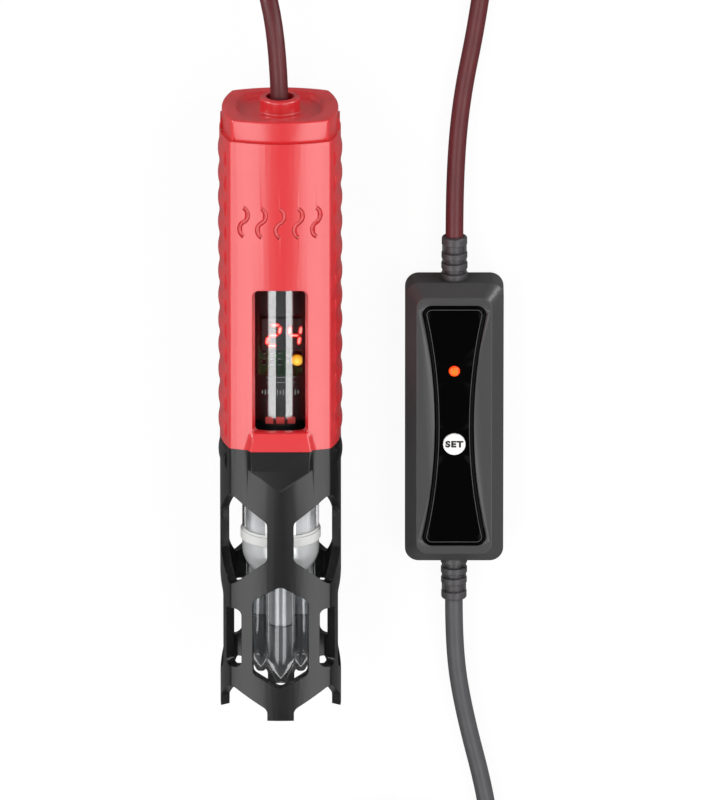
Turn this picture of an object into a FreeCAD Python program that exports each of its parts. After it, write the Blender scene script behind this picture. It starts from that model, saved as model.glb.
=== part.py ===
import FreeCAD, Part
import math
import os
import re
import Sketcher

# Submersible aquarium heater with an inline controller, in millimetres.
# It lies on its back on two suction cups: X across, Y along the heater towards its cap, Z up.
# The controller lies beside it, and its two leads are wound up past the ends of the heater.

SIZES = {
    # Heater casing: a square section whose four faces bow outwards
    "face_corner": 20.3,
    "face_bow": 4.1,
    "edge_round": 1.4,
    "sleeve_wall": 3.0,
    "sleeve_tall": 129.8,
    "guard_wall": 3.6,
    "guard_tall": 115.1,
    "spigot_slack": 0.15,
    "spigot_wall": 1.6,
    "spigot_rise": 6.0,
    "spigot_root": 8.0,
    # Window and the raised tongue below it
    "window_slope": 22.0,
    "window_half": 9.9,
    "window_tall": 58.0,
    "window_round": 1.2,
    "sill_rise": 8.4,
    "tongue_half": 11.9,
    "tongue_slope": 1.65,
    "tongue_foot": 2.4,
    "tongue_proud": 0.7,
    "tongue_rise": 7.6,
    "tongue_round": 1.6,
    "tongue_knee": 7.9,
    "tongue_apex": 17.4,
    # Grip ribs on the side faces
    "rib_long": 8.6,
    "rib_proud": 0.6,
    "rib_pitch": 10.4,
    "rib_count": 12,
    "rib_start": 6.5,
    "rib_sweep": 36.0,
    # Heat waves pressed into the front
    "wave_radius": 3.5,
    "wave_bend": 120.0,
    "wave_groove": 0.9,
    "wave_pitch": 7.4,
    "wave_count": 5,
    "wave_high": 96.5,
    # Openings of the guard
    "hex_slope": 10.0,
    "hex_round": 2.2,
    "corner_hex_half": 12.5,
    "corner_hex_low": 59.0,
    "corner_hex_high": 93.6,
    "corner_hex_slant": 9.6,
    "foot_hex_high": 12.0,
    "foot_hex_knee": 4.2,
    "slot_half": 2.6,
    "slot_low": 24.0,
    "slot_high": 45.0,
    "slot_round": 0.8,
    "face_hex_half": 10.7,
    "face_hex_low": 14.2,
    "face_hex_high": 56.4,
    "face_hex_slant": 6.0,
    # Cap with its cable boss
    "cap_corner": 19.5,
    "cap_bow": 3.9,
    "cap_rise": 8.8,
    "cap_round": 2.2,
    "cap_lip": 0.9,
    "cap_plate": 2.4,
    "cap_spigot": 8.0,
    "dish_corner": 13.0,
    "dish_bow": 3.0,
    "dish_deep": 2.3,
    "dish_slope": 42.0,
    "boss_radius": 8.1,
    "boss_rise": 3.7,
    "heater_middle": 129.75,
    "boss_round": 1.1,
    "boss_foot": 0.8,
    "boss_bore": 5.65,
    "tab_half": 5.0,
    "tab_rise": 4.6,
    "tab_thick": 2.1,
    "tab_set_back": 0.4,
    "tab_slack": 0.25,
    # Glass tube, its seals and its ceramic lower head
    "glass_radius": 15.5,
    "glass_wall": 1.2,
    "glass_top": 232.0,
    "seal_slack": 0.1,
    "ring_tall": 8.0,
    "lower_ring_drop": 6.5,
    "upper_ring_drop": 0.4,
    "stopper_deep": 10.0,
    "stopper_flange": 3.0,
    "stopper_neck": 7.4,
    "stopper_neck_rise": 5.0,
    "collar_low": 70.8,
    "collar_tall": 3.9,
    "collar_proud": 0.7,
    "head_low": 55.5,
    "head_dome": 11.0,
    "head_spigot": 16.0,
    "seal_thick": 1.0,
    # Heating tubes and their cores
    "heating_radius": 5.85,
    "heating_wall": 0.9,
    "heating_tip": 11.4,
    "heating_nose": 8.5,
    "heating_top": 73.5,
    "heating_pitch": 9.3,
    "core_radius": 4.5,
    "core_low": 36.8,
    "core_top": 72.5,
    "lead_radius": 0.9,
    "probe_radius": 1.9,
    "probe_low": 61.0,
    "probe_top": 86.0,
    # Display inside the glass
    "board_half": 12.0,
    "board_low": 92.0,
    "board_top": 214.0,
    "board_thick": 1.6,
    "display_half": 9.2,
    "display_side": 1.5,
    "display_mid": 159.5,
    "display_tall": 14.0,
    "display_deep": 8.0,
    "digit_wide": 5.8,
    "digit_tall": 10.4,
    "digit_gap": 2.4,
    "digit_stroke": 1.5,
    "digit_slant": 0.14,
    "digit_proud": 0.3,
    "heating_led_side": 6.7,
    "heating_led_at": 148.1,
    "heating_led_radius": 2.3,
    "heating_led_rise": 8.2,
    "card_thick": 0.3,
    "card_slack": 0.15,
    "card_low": 119.0,
    "card_top": 186.0,
    "card_window_half": 8.6,
    "card_window_low": 143.5,
    "card_window_top": 169.0,
    "fuse_radius": 1.5,
    "fuse_long": 10.0,
    # Suction cups on the back
    "cup_radius": 17.0,
    "cup_stand": 13.0,
    "cup_rim": 1.0,
    "cup_wall": 2.0,
    "cup_stem": 3.95,
    "cup_head": 5.2,
    "cup_head_thick": 1.8,
    "cup_fit": 0.05,
    "cup_shoulder": 6.0,
    "cup_shoulder_rise": 4.0,
    "cup_end_play": 0.3,
    "peg_boss": 7.5,
    "peg_boss_rise": 2.0,
    "cup_low_at": 130.0,
    "cup_high_at": 218.0,
    # Controller case
    "side_gap": 25.8,
    "case_wide": 39.8,
    "case_long": 118.6,
    "case_tall": 21.0,
    "case_split": 9.5,
    "case_round": 5.6,
    "case_wall": 2.0,
    "case_back_round": 2.6,
    "case_shoulder": 15.5,
    "case_along": -18.0,
    "plateau_inset": 4.7,
    "plateau_round": 4.8,
    "case_top_wall": 2.4,
    "panel_end_half": 13.0,
    "panel_waist_half": 8.0,
    "panel_half_long": 51.4,
    "panel_round": 4.0,
    "panel_deep": 0.9,
    "panel_thick": 0.8,
    "panel_slack": 0.2,
    "panel_step": 1.2,
    "button_radius": 4.55,
    "button_slack": 0.15,
    "button_proud": 0.5,
    "button_at": -7.6,
    "button_flange": 0.9,
    "button_flange_thick": 0.9,
    "button_travel": 0.8,
    "button_round": 0.4,
    "button_stem": 1.8,
    "button_end_play": 0.1,
    "power_led_radius": 2.2,
    "power_led_at": 23.4,
    "power_led_proud": 0.5,
    "post_radius": 3.2,
    "post_in": 6.2,
    "screw_radius": 1.4,
    "screw_head": 2.7,
    "screw_head_thick": 1.6,
    "screw_long": 12.0,
    "screw_slack": 0.1,
    # Strain reliefs of the case
    "gland_long": 18.0,
    "gland_root": 5.4,
    "gland_tip": 5.15,
    "gland_core": 3.9,
    "gland_rail_at": 4.35,
    "gland_rail_thick": 1.2,
    "gland_rail_half": 1.2,
    "gland_neck": 4.6,
    "gland_flange": 6.0,
    "gland_flange_thick": 2.0,
    "gland_fit": 0.1,
    "gland_first_rib": 3.4,
    "gland_rib": 2.5,
    "gland_slot": 1.85,
    "gland_slots": 3,
    # Control board and what it carries
    "pcb_half": 16.4,
    "pcb_half_long": 46.0,
    "pcb_thick": 1.6,
    "pcb_high": 5.4,
    "pcb_round": 1.5,
    "standoff_radius": 2.4,
    "switch_half": 3.0,
    "switch_tall": 3.6,
    "switch_bore": 1.9,
    "relay_wide": 15.0,
    "relay_long": 19.0,
    "relay_tall": 10.4,
    "relay_at": 8.0,
    "film_wide": 8.0,
    "film_long": 18.0,
    "film_tall": 9.5,
    "film_at": -25.0,
    "reservoir_radius": 4.0,
    "reservoir_tall": 9.0,
    "reservoir_at": -12.6,
    "link_radius": 2.2,
    "link_long": 16.0,
    "link_at": -27.0,
    "chip_half": 3.9,
    "chip_long": 10.2,
    "chip_tall": 2.4,
    "chip_at": 8.0,
    "terminal_wide": 15.0,
    "terminal_long": 7.6,
    "terminal_tall": 8.6,
    "terminal_in": 6.0,
    "side_shift": 7.4,
    # Leads and their coils
    "lead_thick": 7.2,
    "turn_step": 7.7,
    "coil_mean": 39.5,
    "heater_coil_turns": 3.5,
    "mains_coil_turns": 3.0,
    "heater_coil_side": 5.0,
    "heater_coil_along": 218.0,
    "mains_coil_side": 8.5,
    "mains_coil_along": -236.0,
    "tie_wide": 6.0,
    "tie_thick": 0.9,
    "tie_slack": 0.25,
    # Mains plug with three flat pins
    "plug_side": -24.5,
    "plug_along": -306.0,
    "plug_high": 14.2,
    "plug_body_long": 30.0,
    "plug_face_wide": 36.0,
    "plug_face_tall": 28.0,
    "plug_root_wide": 17.0,
    "plug_root_tall": 15.0,
    "plug_round": 5.5,
    "plug_boot_long": 22.0,
    "plug_boot_tip": 4.6,
    "plug_boot_root": 6.2,
    "pin_wide": 6.3,
    "pin_thick": 1.6,
    "pin_long": 17.5,
    "pin_buried": 6.0,
    "pin_splay": 30.0,
    "pin_side": 6.9,
    "pin_up": 3.9,
    "pin_down": 7.9,
}

# Sizes that follow from the ones above
DERIVED = {
    "bow_half": "face_corner + face_bow",
    "bow_radius": "(face_corner^2 + face_bow^2) / (2 * face_bow)",
    "rim_high": "guard_tall + sleeve_tall",
    "cap_top": "rim_high + cap_rise",
    "heater_long": "cap_top + boss_rise",
    "span_across": "2 * bow_half + rib_proud + side_gap + case_wide",
    "heater_side": "rib_proud + bow_half - span_across / 2",
    "heater_foot": "-heater_middle",
    "axis_high": "cup_stand + bow_half",
    "case_side": "span_across / 2 - case_wide / 2",
    "spigot_inset": "sleeve_wall + spigot_slack",
    "bore_inset": "spigot_inset + spigot_wall",
    "glass_bore": "glass_radius - glass_wall",
    "collar_top": "collar_low + collar_tall",
    "stopper_top": "glass_top + stopper_flange + stopper_neck_rise",
    "board_front": "board_thick / 2",
    "display_face": "board_front + display_deep",
    "plateau_floor": "case_tall - panel_deep",
    "pcb_top": "pcb_high + pcb_thick",
    "switch_top": "pcb_top + switch_tall",
    "button_floor": "case_tall - case_top_wall - button_end_play",
    "lead_radius_out": "lead_thick / 2",
    "coil_rest": "tie_thick + tie_slack + lead_thick / 2",
}

HEATER = ("heater_side", "heater_foot", "axis_high")
CASE = ("case_side", "case_along", "0")
WORLD = ("0", "0", "0")

document = FreeCAD.newDocument("AquariumHeater")
sheet = document.addObject("Spreadsheet::Sheet", "Sizes")
for row, (word, size) in enumerate(SIZES.items(), start=1):
    sheet.set(f"A{row}", word)
    sheet.set(f"B{row}", str(size))
    sheet.setAlias(f"B{row}", word)
document.recompute()

pieces = []


def link(rule):
    """Write a rule so that it reads the sheet, with derived sizes spelled out."""
    def one_word(match):
        word = match.group(0)
        if word in DERIVED:
            return "(" + link(DERIVED[word]) + ")"
        return "Sizes." + word if word in SIZES else word
    return re.sub(r"\b[a-z][a-z0-9_]*\b", one_word, str(rule))


def worth(rule):
    """The number that a rule comes to."""
    return float(sheet.evalExpression(link(rule)))


def bind(thing, name, rule):
    thing.setExpression(name, link(rule))


def put(thing, x, y, z, axis=None, degrees=0):
    """Place a thing, turned about an axis first where one is given."""
    if axis:
        turn = FreeCAD.Rotation(FreeCAD.Vector(*axis), worth(degrees))
        thing.Placement = FreeCAD.Placement(FreeCAD.Vector(), turn)
    bind(thing, "Placement.Base.x", x)
    bind(thing, "Placement.Base.y", y)
    bind(thing, "Placement.Base.z", z)
    return thing


def keep(thing, label, origin):
    """Name a finished piece, place it in the assembly and list it for writing."""
    thing.Label = label
    put(thing, *origin)
    pieces.append(thing)
    return thing


# Sketches

def hold(sketch, rule, *where):
    """Add one sized constraint that follows its rule."""
    index = sketch.addConstraint(Sketcher.Constraint(*where, worth(rule)))
    name = f"size_{index}"
    sketch.renameConstraint(index, name)
    bind(sketch, f"Constraints.{name}", rule)


def hold_point(sketch, geometry, end, x, y):
    hold(sketch, x, "DistanceX", -1, 1, geometry, end)
    hold(sketch, y, "DistanceY", -1, 1, geometry, end)


def add_arc(sketch, start, middle, end):
    """Add an arc the way round that a sketch stores it, and say which end is which."""
    if (start - middle).cross(end - middle).z < 0:
        return sketch.addGeometry(Part.Arc(start, middle, end), False), 1, 2
    return sketch.addGeometry(Part.Arc(end, middle, start), False), 2, 1


def outline(sketch, corners):
    """Draw a closed outline through (x, y, round) corners, each rounded by its own arc."""
    count = len(corners)
    points = [FreeCAD.Vector(worth(x), worth(y), 0) for x, y, _ in corners]
    rounds = [worth(radius) for _, _, radius in corners]
    spans = []
    for index, point in enumerate(points):
        back = (points[index - 1] - point).normalize()
        ahead = (points[(index + 1) % count] - point).normalize()
        if rounds[index] > 0:
            half = back.getAngle(ahead) / 2
            reach = rounds[index] / math.tan(half)
            centre = point + (back + ahead).normalize() * (rounds[index] / math.sin(half))
            spans.append((point + back * reach, point + ahead * reach, centre))
        else:
            spans.append((point, point, None))
    lines = []
    for index in range(count):
        edge = Part.LineSegment(spans[index][1], spans[(index + 1) % count][0])
        lines.append(sketch.addGeometry(edge, False))
    for index, (x, y, radius) in enumerate(corners):
        start, end, centre = spans[index]
        before, after = lines[index - 1], lines[index]
        if centre is None:
            sketch.addConstraint(Sketcher.Constraint("Coincident", before, 2, after, 1))
            hold_point(sketch, after, 1, x, y)
            continue
        middle = centre + ((start + end) * 0.5 - centre).normalize() * rounds[index]
        arc, first, last = add_arc(sketch, start, middle, end)
        sketch.addConstraint(Sketcher.Constraint("Tangent", before, 2, arc, first))
        sketch.addConstraint(Sketcher.Constraint("Tangent", arc, last, after, 1))
        hold(sketch, radius, "Radius", arc)
        peak = sketch.addGeometry(Part.Point(points[index]), True)
        sketch.addConstraint(Sketcher.Constraint("PointOnObject", peak, 1, before))
        sketch.addConstraint(Sketcher.Constraint("PointOnObject", peak, 1, after))
        hold_point(sketch, peak, 1, x, y)


def circle(sketch, x, y, radius):
    centre = FreeCAD.Vector(worth(x), worth(y), 0)
    ring = sketch.addGeometry(Part.Circle(centre, FreeCAD.Vector(0, 0, 1), worth(radius)), False)
    hold(sketch, radius, "Radius", ring)
    hold_point(sketch, ring, 3, x, y)


def rectangle(sketch, x_half, y_half, radius="0", x="0", y="0"):
    outline(sketch, [
        (f"({x}) - ({x_half})", f"({y}) - ({y_half})", radius),
        (f"({x}) + ({x_half})", f"({y}) - ({y_half})", radius),
        (f"({x}) + ({x_half})", f"({y}) + ({y_half})", radius),
        (f"({x}) - ({x_half})", f"({y}) + ({y_half})", radius),
    ])


def bowed_square(sketch, corner, bow, inset="0"):
    """Draw a square whose sides are arcs, moved inwards by a wall."""
    radius = f"((({corner})^2 + ({bow})^2) / (2 * ({bow})))"
    shift = f"({radius} - ({corner}) - ({bow}))"
    arc_radius = f"({radius} - ({inset}))"
    point = f"((sqrt(2 * {arc_radius}^2 - {shift}^2) - {shift}) / 2)"
    reach, crown = worth(point), worth(arc_radius) - worth(shift)
    signs = [(1, 1), (-1, 1), (-1, -1), (1, -1)]
    crowns = [(0, 1), (-1, 0), (0, -1), (1, 0)]
    arcs = []
    for index, (side, up) in enumerate(signs):
        next_side, next_up = signs[(index + 1) % 4]
        arc = Part.Arc(
            FreeCAD.Vector(side * reach, up * reach, 0),
            FreeCAD.Vector(crowns[index][0] * crown, crowns[index][1] * crown, 0),
            FreeCAD.Vector(next_side * reach, next_up * reach, 0))
        arcs.append(sketch.addGeometry(arc, False))
    for index, (side, up) in enumerate(signs):
        before, after = arcs[index - 1], arcs[index]
        sketch.addConstraint(Sketcher.Constraint("Coincident", before, 2, after, 1))
        hold_point(sketch, after, 1, f"{side} * {point}", f"{up} * {point}")
        hold(sketch, arc_radius, "Radius", after)


def hourglass(sketch, end_half, waist_half, half_long, radius, inset="0"):
    """Draw a long panel whose two sides are hollow arcs that meet rounded ends."""
    wide, waist = f"(({end_half}) - ({inset}))", f"(({waist_half}) - ({inset}))"
    tall, corner = f"(({half_long}) - ({inset}))", f"(({radius}) - ({inset}))"
    x, y, r = worth(wide), worth(tall), worth(corner)
    vector = FreeCAD.Vector
    top = sketch.addGeometry(Part.LineSegment(vector(x - r, y, 0), vector(-x + r, y, 0)), False)
    bottom = sketch.addGeometry(Part.LineSegment(vector(-x + r, -y, 0), vector(x - r, -y, 0)), False)
    side_radius = f"((({tall} - {corner})^2 + ({wide} - {waist})^2) / (2 * ({wide} - {waist})))"
    for side in (-1, 1):
        low, high = vector(side * x, r - y, 0), vector(side * x, y - r, 0)
        arc, low_end, high_end = add_arc(sketch, low, vector(side * worth(waist), 0, 0), high)
        hold_point(sketch, arc, low_end, f"{side} * {wide}", f"{corner} - {tall}")
        hold_point(sketch, arc, high_end, f"{side} * {wide}", f"{tall} - {corner}")
        hold(sketch, side_radius, "Radius", arc)
        for up, line, line_end, arc_end in ((1, top, 1 if side > 0 else 2, high_end),
                                            (-1, bottom, 2 if side > 0 else 1, low_end)):
            near = vector(side * (x - r), up * y, 0)
            far = vector(side * x, up * (y - r), 0)
            bend = r * math.sqrt(0.5)
            middle = vector(side * (x - r + bend), up * (y - r + bend), 0)
            turn, near_end, far_end = add_arc(sketch, near, middle, far)
            hold_point(sketch, line, line_end, f"{side} * ({wide} - {corner})", f"{up} * {tall}")
            sketch.addConstraint(Sketcher.Constraint("Coincident", turn, near_end, line, line_end))
            sketch.addConstraint(Sketcher.Constraint("Coincident", turn, far_end, arc, arc_end))
            hold(sketch, corner, "Radius", turn)


# Bodies and their features

def new_body(name):
    return document.addObject("PartDesign::Body", name)


def origin_item(body, role):
    return next(item for item in body.Origin.OriginFeatures if item.Role == role)


def sketch_on(body, role, away="0"):
    """A sketch on one of the body's own planes, moved along that plane's normal."""
    sketch = body.newObject("Sketcher::SketchObject", f"{body.Name}_outline")
    sketch.AttachmentSupport = (origin_item(body, role), [""])
    sketch.MapMode = "FlatFace"
    bind(sketch, "AttachmentOffset.Base.z", away)
    return sketch


def section(body, at):
    """A sketch square to the heater's axis, at a height along it."""
    return sketch_on(body, "XZ_Plane", f"-({at})")


def diagonal(body, away):
    """A sketch that faces a corner of the casing."""
    sketch = sketch_on(body, "XY_Plane")
    turn = FreeCAD.Rotation(FreeCAD.Vector(0, 1, 0), 45)
    sketch.AttachmentOffset = FreeCAD.Placement(FreeCAD.Vector(), turn)
    bind(sketch, "AttachmentOffset.Base.x", f"({away}) * sqrt(0.5)")
    bind(sketch, "AttachmentOffset.Base.z", f"({away}) * sqrt(0.5)")
    return sketch


def pad(body, sketch, length, backwards=False):
    feature = body.newObject("PartDesign::Pad", f"{body.Name}_pad")
    feature.Profile = sketch
    feature.Reversed = backwards
    bind(feature, "Length", length)
    document.recompute()
    return feature


def pocket(body, sketch, length, backwards=False, taper=None):
    """Cut a sketch into the body, and make sure that it removes something."""
    document.recompute()
    before = body.Shape.Volume
    feature = body.newObject("PartDesign::Pocket", f"{body.Name}_pocket")
    feature.Profile = sketch
    feature.Reversed = backwards
    bind(feature, "Length", length)
    if taper:
        bind(feature, "TaperAngle", taper)
    document.recompute()
    if body.Shape.Volume >= before - 1e-6:
        raise RuntimeError(f"{feature.Name} cuts nothing")
    return feature


def turned(name, corners, role="XY_Plane"):
    """A body of revolution about the vertical axis of its plane."""
    body = new_body(name)
    revolve(body, corners, role)
    return body


def revolve(body, corners, role="XY_Plane", kind="Revolution"):
    sketch = sketch_on(body, role)
    outline(sketch, corners)
    feature = body.newObject(f"PartDesign::{kind}", f"{body.Name}_turn")
    feature.Profile = sketch
    feature.ReferenceAxis = (sketch, ["V_Axis"])
    feature.Angle = 360
    document.recompute()
    return feature


def round_edges(body, radius, wanted, kind="Fillet"):
    """Round or bevel the edges that a test picks."""
    base = body.Tip
    names = [f"Edge{index}" for index, edge in enumerate(base.Shape.Edges, start=1) if wanted(edge)]
    feature = body.newObject(f"PartDesign::{kind}", f"{body.Name}_{kind.lower()}")
    feature.Base = (base, names)
    bind(feature, "Radius" if kind == "Fillet" else "Size", radius)
    document.recompute()
    return feature


def along_axis(edge):
    """Whether an edge runs straight along the heater's axis."""
    ends = [vertex.Point for vertex in edge.Vertexes]
    return len(ends) == 2 and (ends[1] - ends[0]).cross(FreeCAD.Vector(0, 1, 0)).Length < 1e-4


def at_height(value, axis="z"):
    """A test for edges that lie flat at one height."""
    def flat(edge):
        box = edge.BoundBox
        low = getattr(box, axis.upper() + "Min")
        high = getattr(box, axis.upper() + "Max")
        return abs(low - value) < 1e-3 and abs(high - value) < 1e-3
    return flat


def group(label, members, origin):
    """Several separate solids under one name."""
    whole = document.addObject("Part::Compound", label)
    whole.Links = members
    return keep(whole, label, origin)


# Casing of the heater

def casing_block(name, low, length):
    """A solid length of the bowed square section with its four long edges rounded."""
    body = new_body(name)
    profile = section(body, low)
    bowed_square(profile, "face_corner", "face_bow")
    pad(body, profile, length, backwards=True)
    round_edges(body, "edge_round", along_axis)
    return body


def grip_ribs(body, first, count):
    """Shallow cross ribs on both side faces, each swept round the bow of its face."""
    ribs = []
    for side in (1, -1):
        sketch = sketch_on(body, "XY_Plane")
        base = f"{side} * (bow_half - rib_proud / 2)"
        low, high = f"{first} - rib_long / 2", f"{first} + rib_long / 2"
        foot = FreeCAD.Vector(worth(base), worth(low), 0)
        head = FreeCAD.Vector(worth(base), worth(high), 0)
        crown = FreeCAD.Vector(side * worth("bow_half + rib_proud"), worth(first), 0)
        chord = sketch.addGeometry(Part.LineSegment(foot, head), False)
        arc, arc_head, arc_foot = add_arc(sketch, head, crown, foot)
        for end, y in ((1, low), (2, high)):
            hold_point(sketch, chord, end, base, y)
        sketch.addConstraint(Sketcher.Constraint("Coincident", chord, 1, arc, arc_foot))
        sketch.addConstraint(Sketcher.Constraint("Coincident", chord, 2, arc, arc_head))
        rise = "(1.5 * rib_proud)"
        hold(sketch, f"((rib_long / 2)^2 + {rise}^2) / (2 * {rise})", "Radius", arc)
        centre_x = f"{-side} * (bow_radius - bow_half)"
        axis_low = FreeCAD.Vector(worth(centre_x), 0, 0)
        axis = sketch.addGeometry(Part.LineSegment(axis_low, axis_low + FreeCAD.Vector(0, 10, 0)), True)
        hold_point(sketch, axis, 1, centre_x, "0")
        hold_point(sketch, axis, 2, centre_x, "10")
        rib = body.newObject("PartDesign::Revolution", f"{body.Name}_rib")
        rib.Profile = sketch
        rib.ReferenceAxis = (sketch, ["Axis0"])
        rib.Midplane = True
        bind(rib, "Angle", "rib_sweep")
        document.recompute()
        ribs.append(rib)
    if worth(count) > 1:
        pattern = body.newObject("PartDesign::LinearPattern", f"{body.Name}_ribs")
        pattern.Originals = ribs
        pattern.Direction = (origin_item(body, "Y_Axis"), [""])
        bind(pattern, "Length", f"rib_pitch * ({count} - 1)")
        bind(pattern, "Occurrences", count)
        body.Tip = pattern
    document.recompute()


def raised_tongue(body, foot, crown):
    """A flat panel that stands out of the front face, with sloping sides."""
    base = sketch_on(body, "XY_Plane", "bow_half - tongue_foot")
    outline(base, foot)
    top = sketch_on(body, "XY_Plane", "bow_half + tongue_proud")
    outline(top, crown)
    loft = body.newObject("PartDesign::AdditiveLoft", f"{body.Name}_tongue")
    loft.Profile = base
    loft.Sections = [top]
    loft.Ruled = True
    document.recompute()


def peg_holes(body):
    """Round bosses on the back with the holes that the suction cups turn in."""
    for at in ("cup_low_at", "cup_high_at"):
        boss = sketch_on(body, "XY_Plane", "-(bow_half - sleeve_wall / 2)")
        circle(boss, "0", at, "peg_boss")
        pad(body, boss, "sleeve_wall / 2 + peg_boss_rise", backwards=True)
    for at in ("cup_low_at", "cup_high_at"):
        hole = sketch_on(body, "XY_Plane", "-glass_radius")
        circle(hole, "0", at, "cup_stem + cup_fit")
        pocket(body, hole, "2 * bow_half")


def heat_waves():
    """Round-bottomed grooves in the front, each wave two bends of one radius."""
    bends = []
    depth = "(bow_radius - wave_groove / 4)"
    for number in range(SIZES["wave_count"]):
        turn = f"(({number} - (wave_count - 1) / 2) * wave_pitch / bow_radius * 180 / pi)"
        for up in (1, -1):
            bend = document.addObject("Part::Torus", "wave_bend")
            bind(bend, "Radius1", "wave_radius")
            bind(bend, "Radius2", "wave_groove")
            bind(bend, "Angle3", "wave_bend")
            start = "-wave_bend / 2" if up > 0 else "180 - wave_bend / 2"
            side = f"({-up} * wave_radius * cos(wave_bend / 2))"
            high = f"guard_tall + wave_high + {up} * wave_radius * sin(wave_bend / 2)"
            spin = FreeCAD.Rotation(FreeCAD.Vector(0, 0, 1), worth(start))
            lean = FreeCAD.Rotation(FreeCAD.Vector(0, 1, 0), worth(turn))
            bend.Placement = FreeCAD.Placement(FreeCAD.Vector(), lean.multiply(spin))
            bind(bend, "Placement.Base.x", f"{depth} * sin({turn}) + {side} * cos({turn})")
            bind(bend, "Placement.Base.y", high)
            bind(bend, "Placement.Base.z",
                 f"{depth} * cos({turn}) - (bow_radius - bow_half) - {side} * sin({turn})")
            bends.append(bend)
    waves = document.addObject("Part::MultiFuse", "heat_waves")
    waves.Shapes = bends
    return waves


def sleeve():
    body = casing_block("sleeve_shell", "guard_tall", "sleeve_tall")
    grip_ribs(body, "guard_tall + rib_start", "rib_count")
    tabs = section(body, "rim_high")
    for side in (1, -1):
        middle = f"{side} * (bow_half - tab_set_back - tab_thick / 2)"
        rectangle(tabs, "tab_thick / 2", "tab_half", x=middle)
    pad(body, tabs, "tab_rise", backwards=True)
    hollow = section(body, "guard_tall")
    bowed_square(hollow, "face_corner", "face_bow", "sleeve_wall")
    pocket(body, hollow, "sleeve_tall")
    peg_holes(body)
    window = sketch_on(body, "XY_Plane", "bow_half - sleeve_wall - 1.5")
    rectangle(window, "window_half", "window_tall / 2", "window_round",
              y="guard_tall + sill_rise + window_tall / 2")
    pocket(body, window, "sleeve_wall + 4", backwards=True, taper="window_slope")
    outlines = [[
        (f"-tongue_half - {spread}", "guard_tall", "0"),
        (f"tongue_half + {spread}", "guard_tall", "0"),
        (f"tongue_half + {spread}", f"guard_tall + tongue_rise + {lift}", "tongue_round"),
        (f"-tongue_half - {spread}", f"guard_tall + tongue_rise + {lift}", "tongue_round"),
    ] for spread, lift in (("tongue_slope", "tongue_slope / 3"), ("0", "0"))]
    raised_tongue(body, *outlines)
    whole = document.addObject("Part::Cut", "sleeve")
    whole.Base = body
    whole.Tool = heat_waves()
    return keep(whole, "sleeve", HEATER)


def hexagon(sketch, half, low, high, slant, radius):
    outline(sketch, [
        ("0", low, radius), (half, f"{low} + {slant}", radius), (half, f"{high} - {slant}", radius),
        ("0", high, radius), (f"-({half})", f"{high} - {slant}", radius),
        (f"-({half})", f"{low} + {slant}", radius),
    ])


def guard_cage():
    body = casing_block("guard_cage", "0", "guard_tall")
    grip_ribs(body, "guard_tall - rib_start", "1")
    hollow = section(body, "0")
    bowed_square(hollow, "face_corner", "face_bow", "guard_wall")
    pocket(body, hollow, "guard_tall")
    outlines = [[
        ("0", f"guard_tall - tongue_apex - 1.3 * {spread}", "1"),
        (f"tongue_half + {spread}", f"guard_tall - tongue_knee - 0.47 * {spread}", "1.5"),
        (f"tongue_half + {spread}", "guard_tall", "0"),
        (f"-tongue_half - {spread}", "guard_tall", "0"),
        (f"-tongue_half - {spread}", f"guard_tall - tongue_knee - 0.47 * {spread}", "1.5"),
    ] for spread in ("tongue_slope", "0")]
    raised_tongue(body, *outlines)
    spigot = section(body, "guard_tall - spigot_root")
    bowed_square(spigot, "face_corner", "face_bow", "spigot_inset")
    bowed_square(spigot, "face_corner", "face_bow", "bore_inset")
    pad(body, spigot, "spigot_root + spigot_rise", backwards=True)
    face_near = "bow_half - guard_wall - 1.6"
    corner_near = "(bow_half - guard_wall) * 0.8"
    face_hex = sketch_on(body, "XY_Plane", face_near)
    hexagon(face_hex, "face_hex_half", "face_hex_low", "face_hex_high", "face_hex_slant", "hex_round")
    cuts = [pocket(body, face_hex, "guard_wall + 3", backwards=True, taper="hex_slope")]
    corner_hex = diagonal(body, corner_near)
    hexagon(corner_hex, "corner_hex_half", "corner_hex_low", "corner_hex_high", "corner_hex_slant",
            "hex_round")
    cuts.append(pocket(body, corner_hex, "bow_half - 8", backwards=True, taper="hex_slope"))
    slot = diagonal(body, corner_near)
    rectangle(slot, "slot_half", "(slot_high - slot_low) / 2", "slot_round", y="(slot_high + slot_low) / 2")
    cuts.append(pocket(body, slot, "bow_half - 8", backwards=True, taper="hex_slope"))
    foot_hex = diagonal(body, corner_near)
    outline(foot_hex, [
        ("0", "foot_hex_high", "hex_round"),
        ("-corner_hex_half", "foot_hex_knee", "hex_round"),
        ("-corner_hex_half", "-foot_hex_high", "0"),
        ("corner_hex_half", "-foot_hex_high", "0"),
        ("corner_hex_half", "foot_hex_knee", "hex_round"),
    ])
    cuts.append(pocket(body, foot_hex, "bow_half - 8", backwards=True, taper="hex_slope"))
    pattern = body.newObject("PartDesign::PolarPattern", "guard_openings")
    pattern.Originals = cuts
    pattern.Axis = (origin_item(body, "Y_Axis"), [""])
    pattern.Angle = 360
    pattern.Occurrences = 4
    body.Tip = pattern
    return keep(body, "guard_cage", HEATER)


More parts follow.
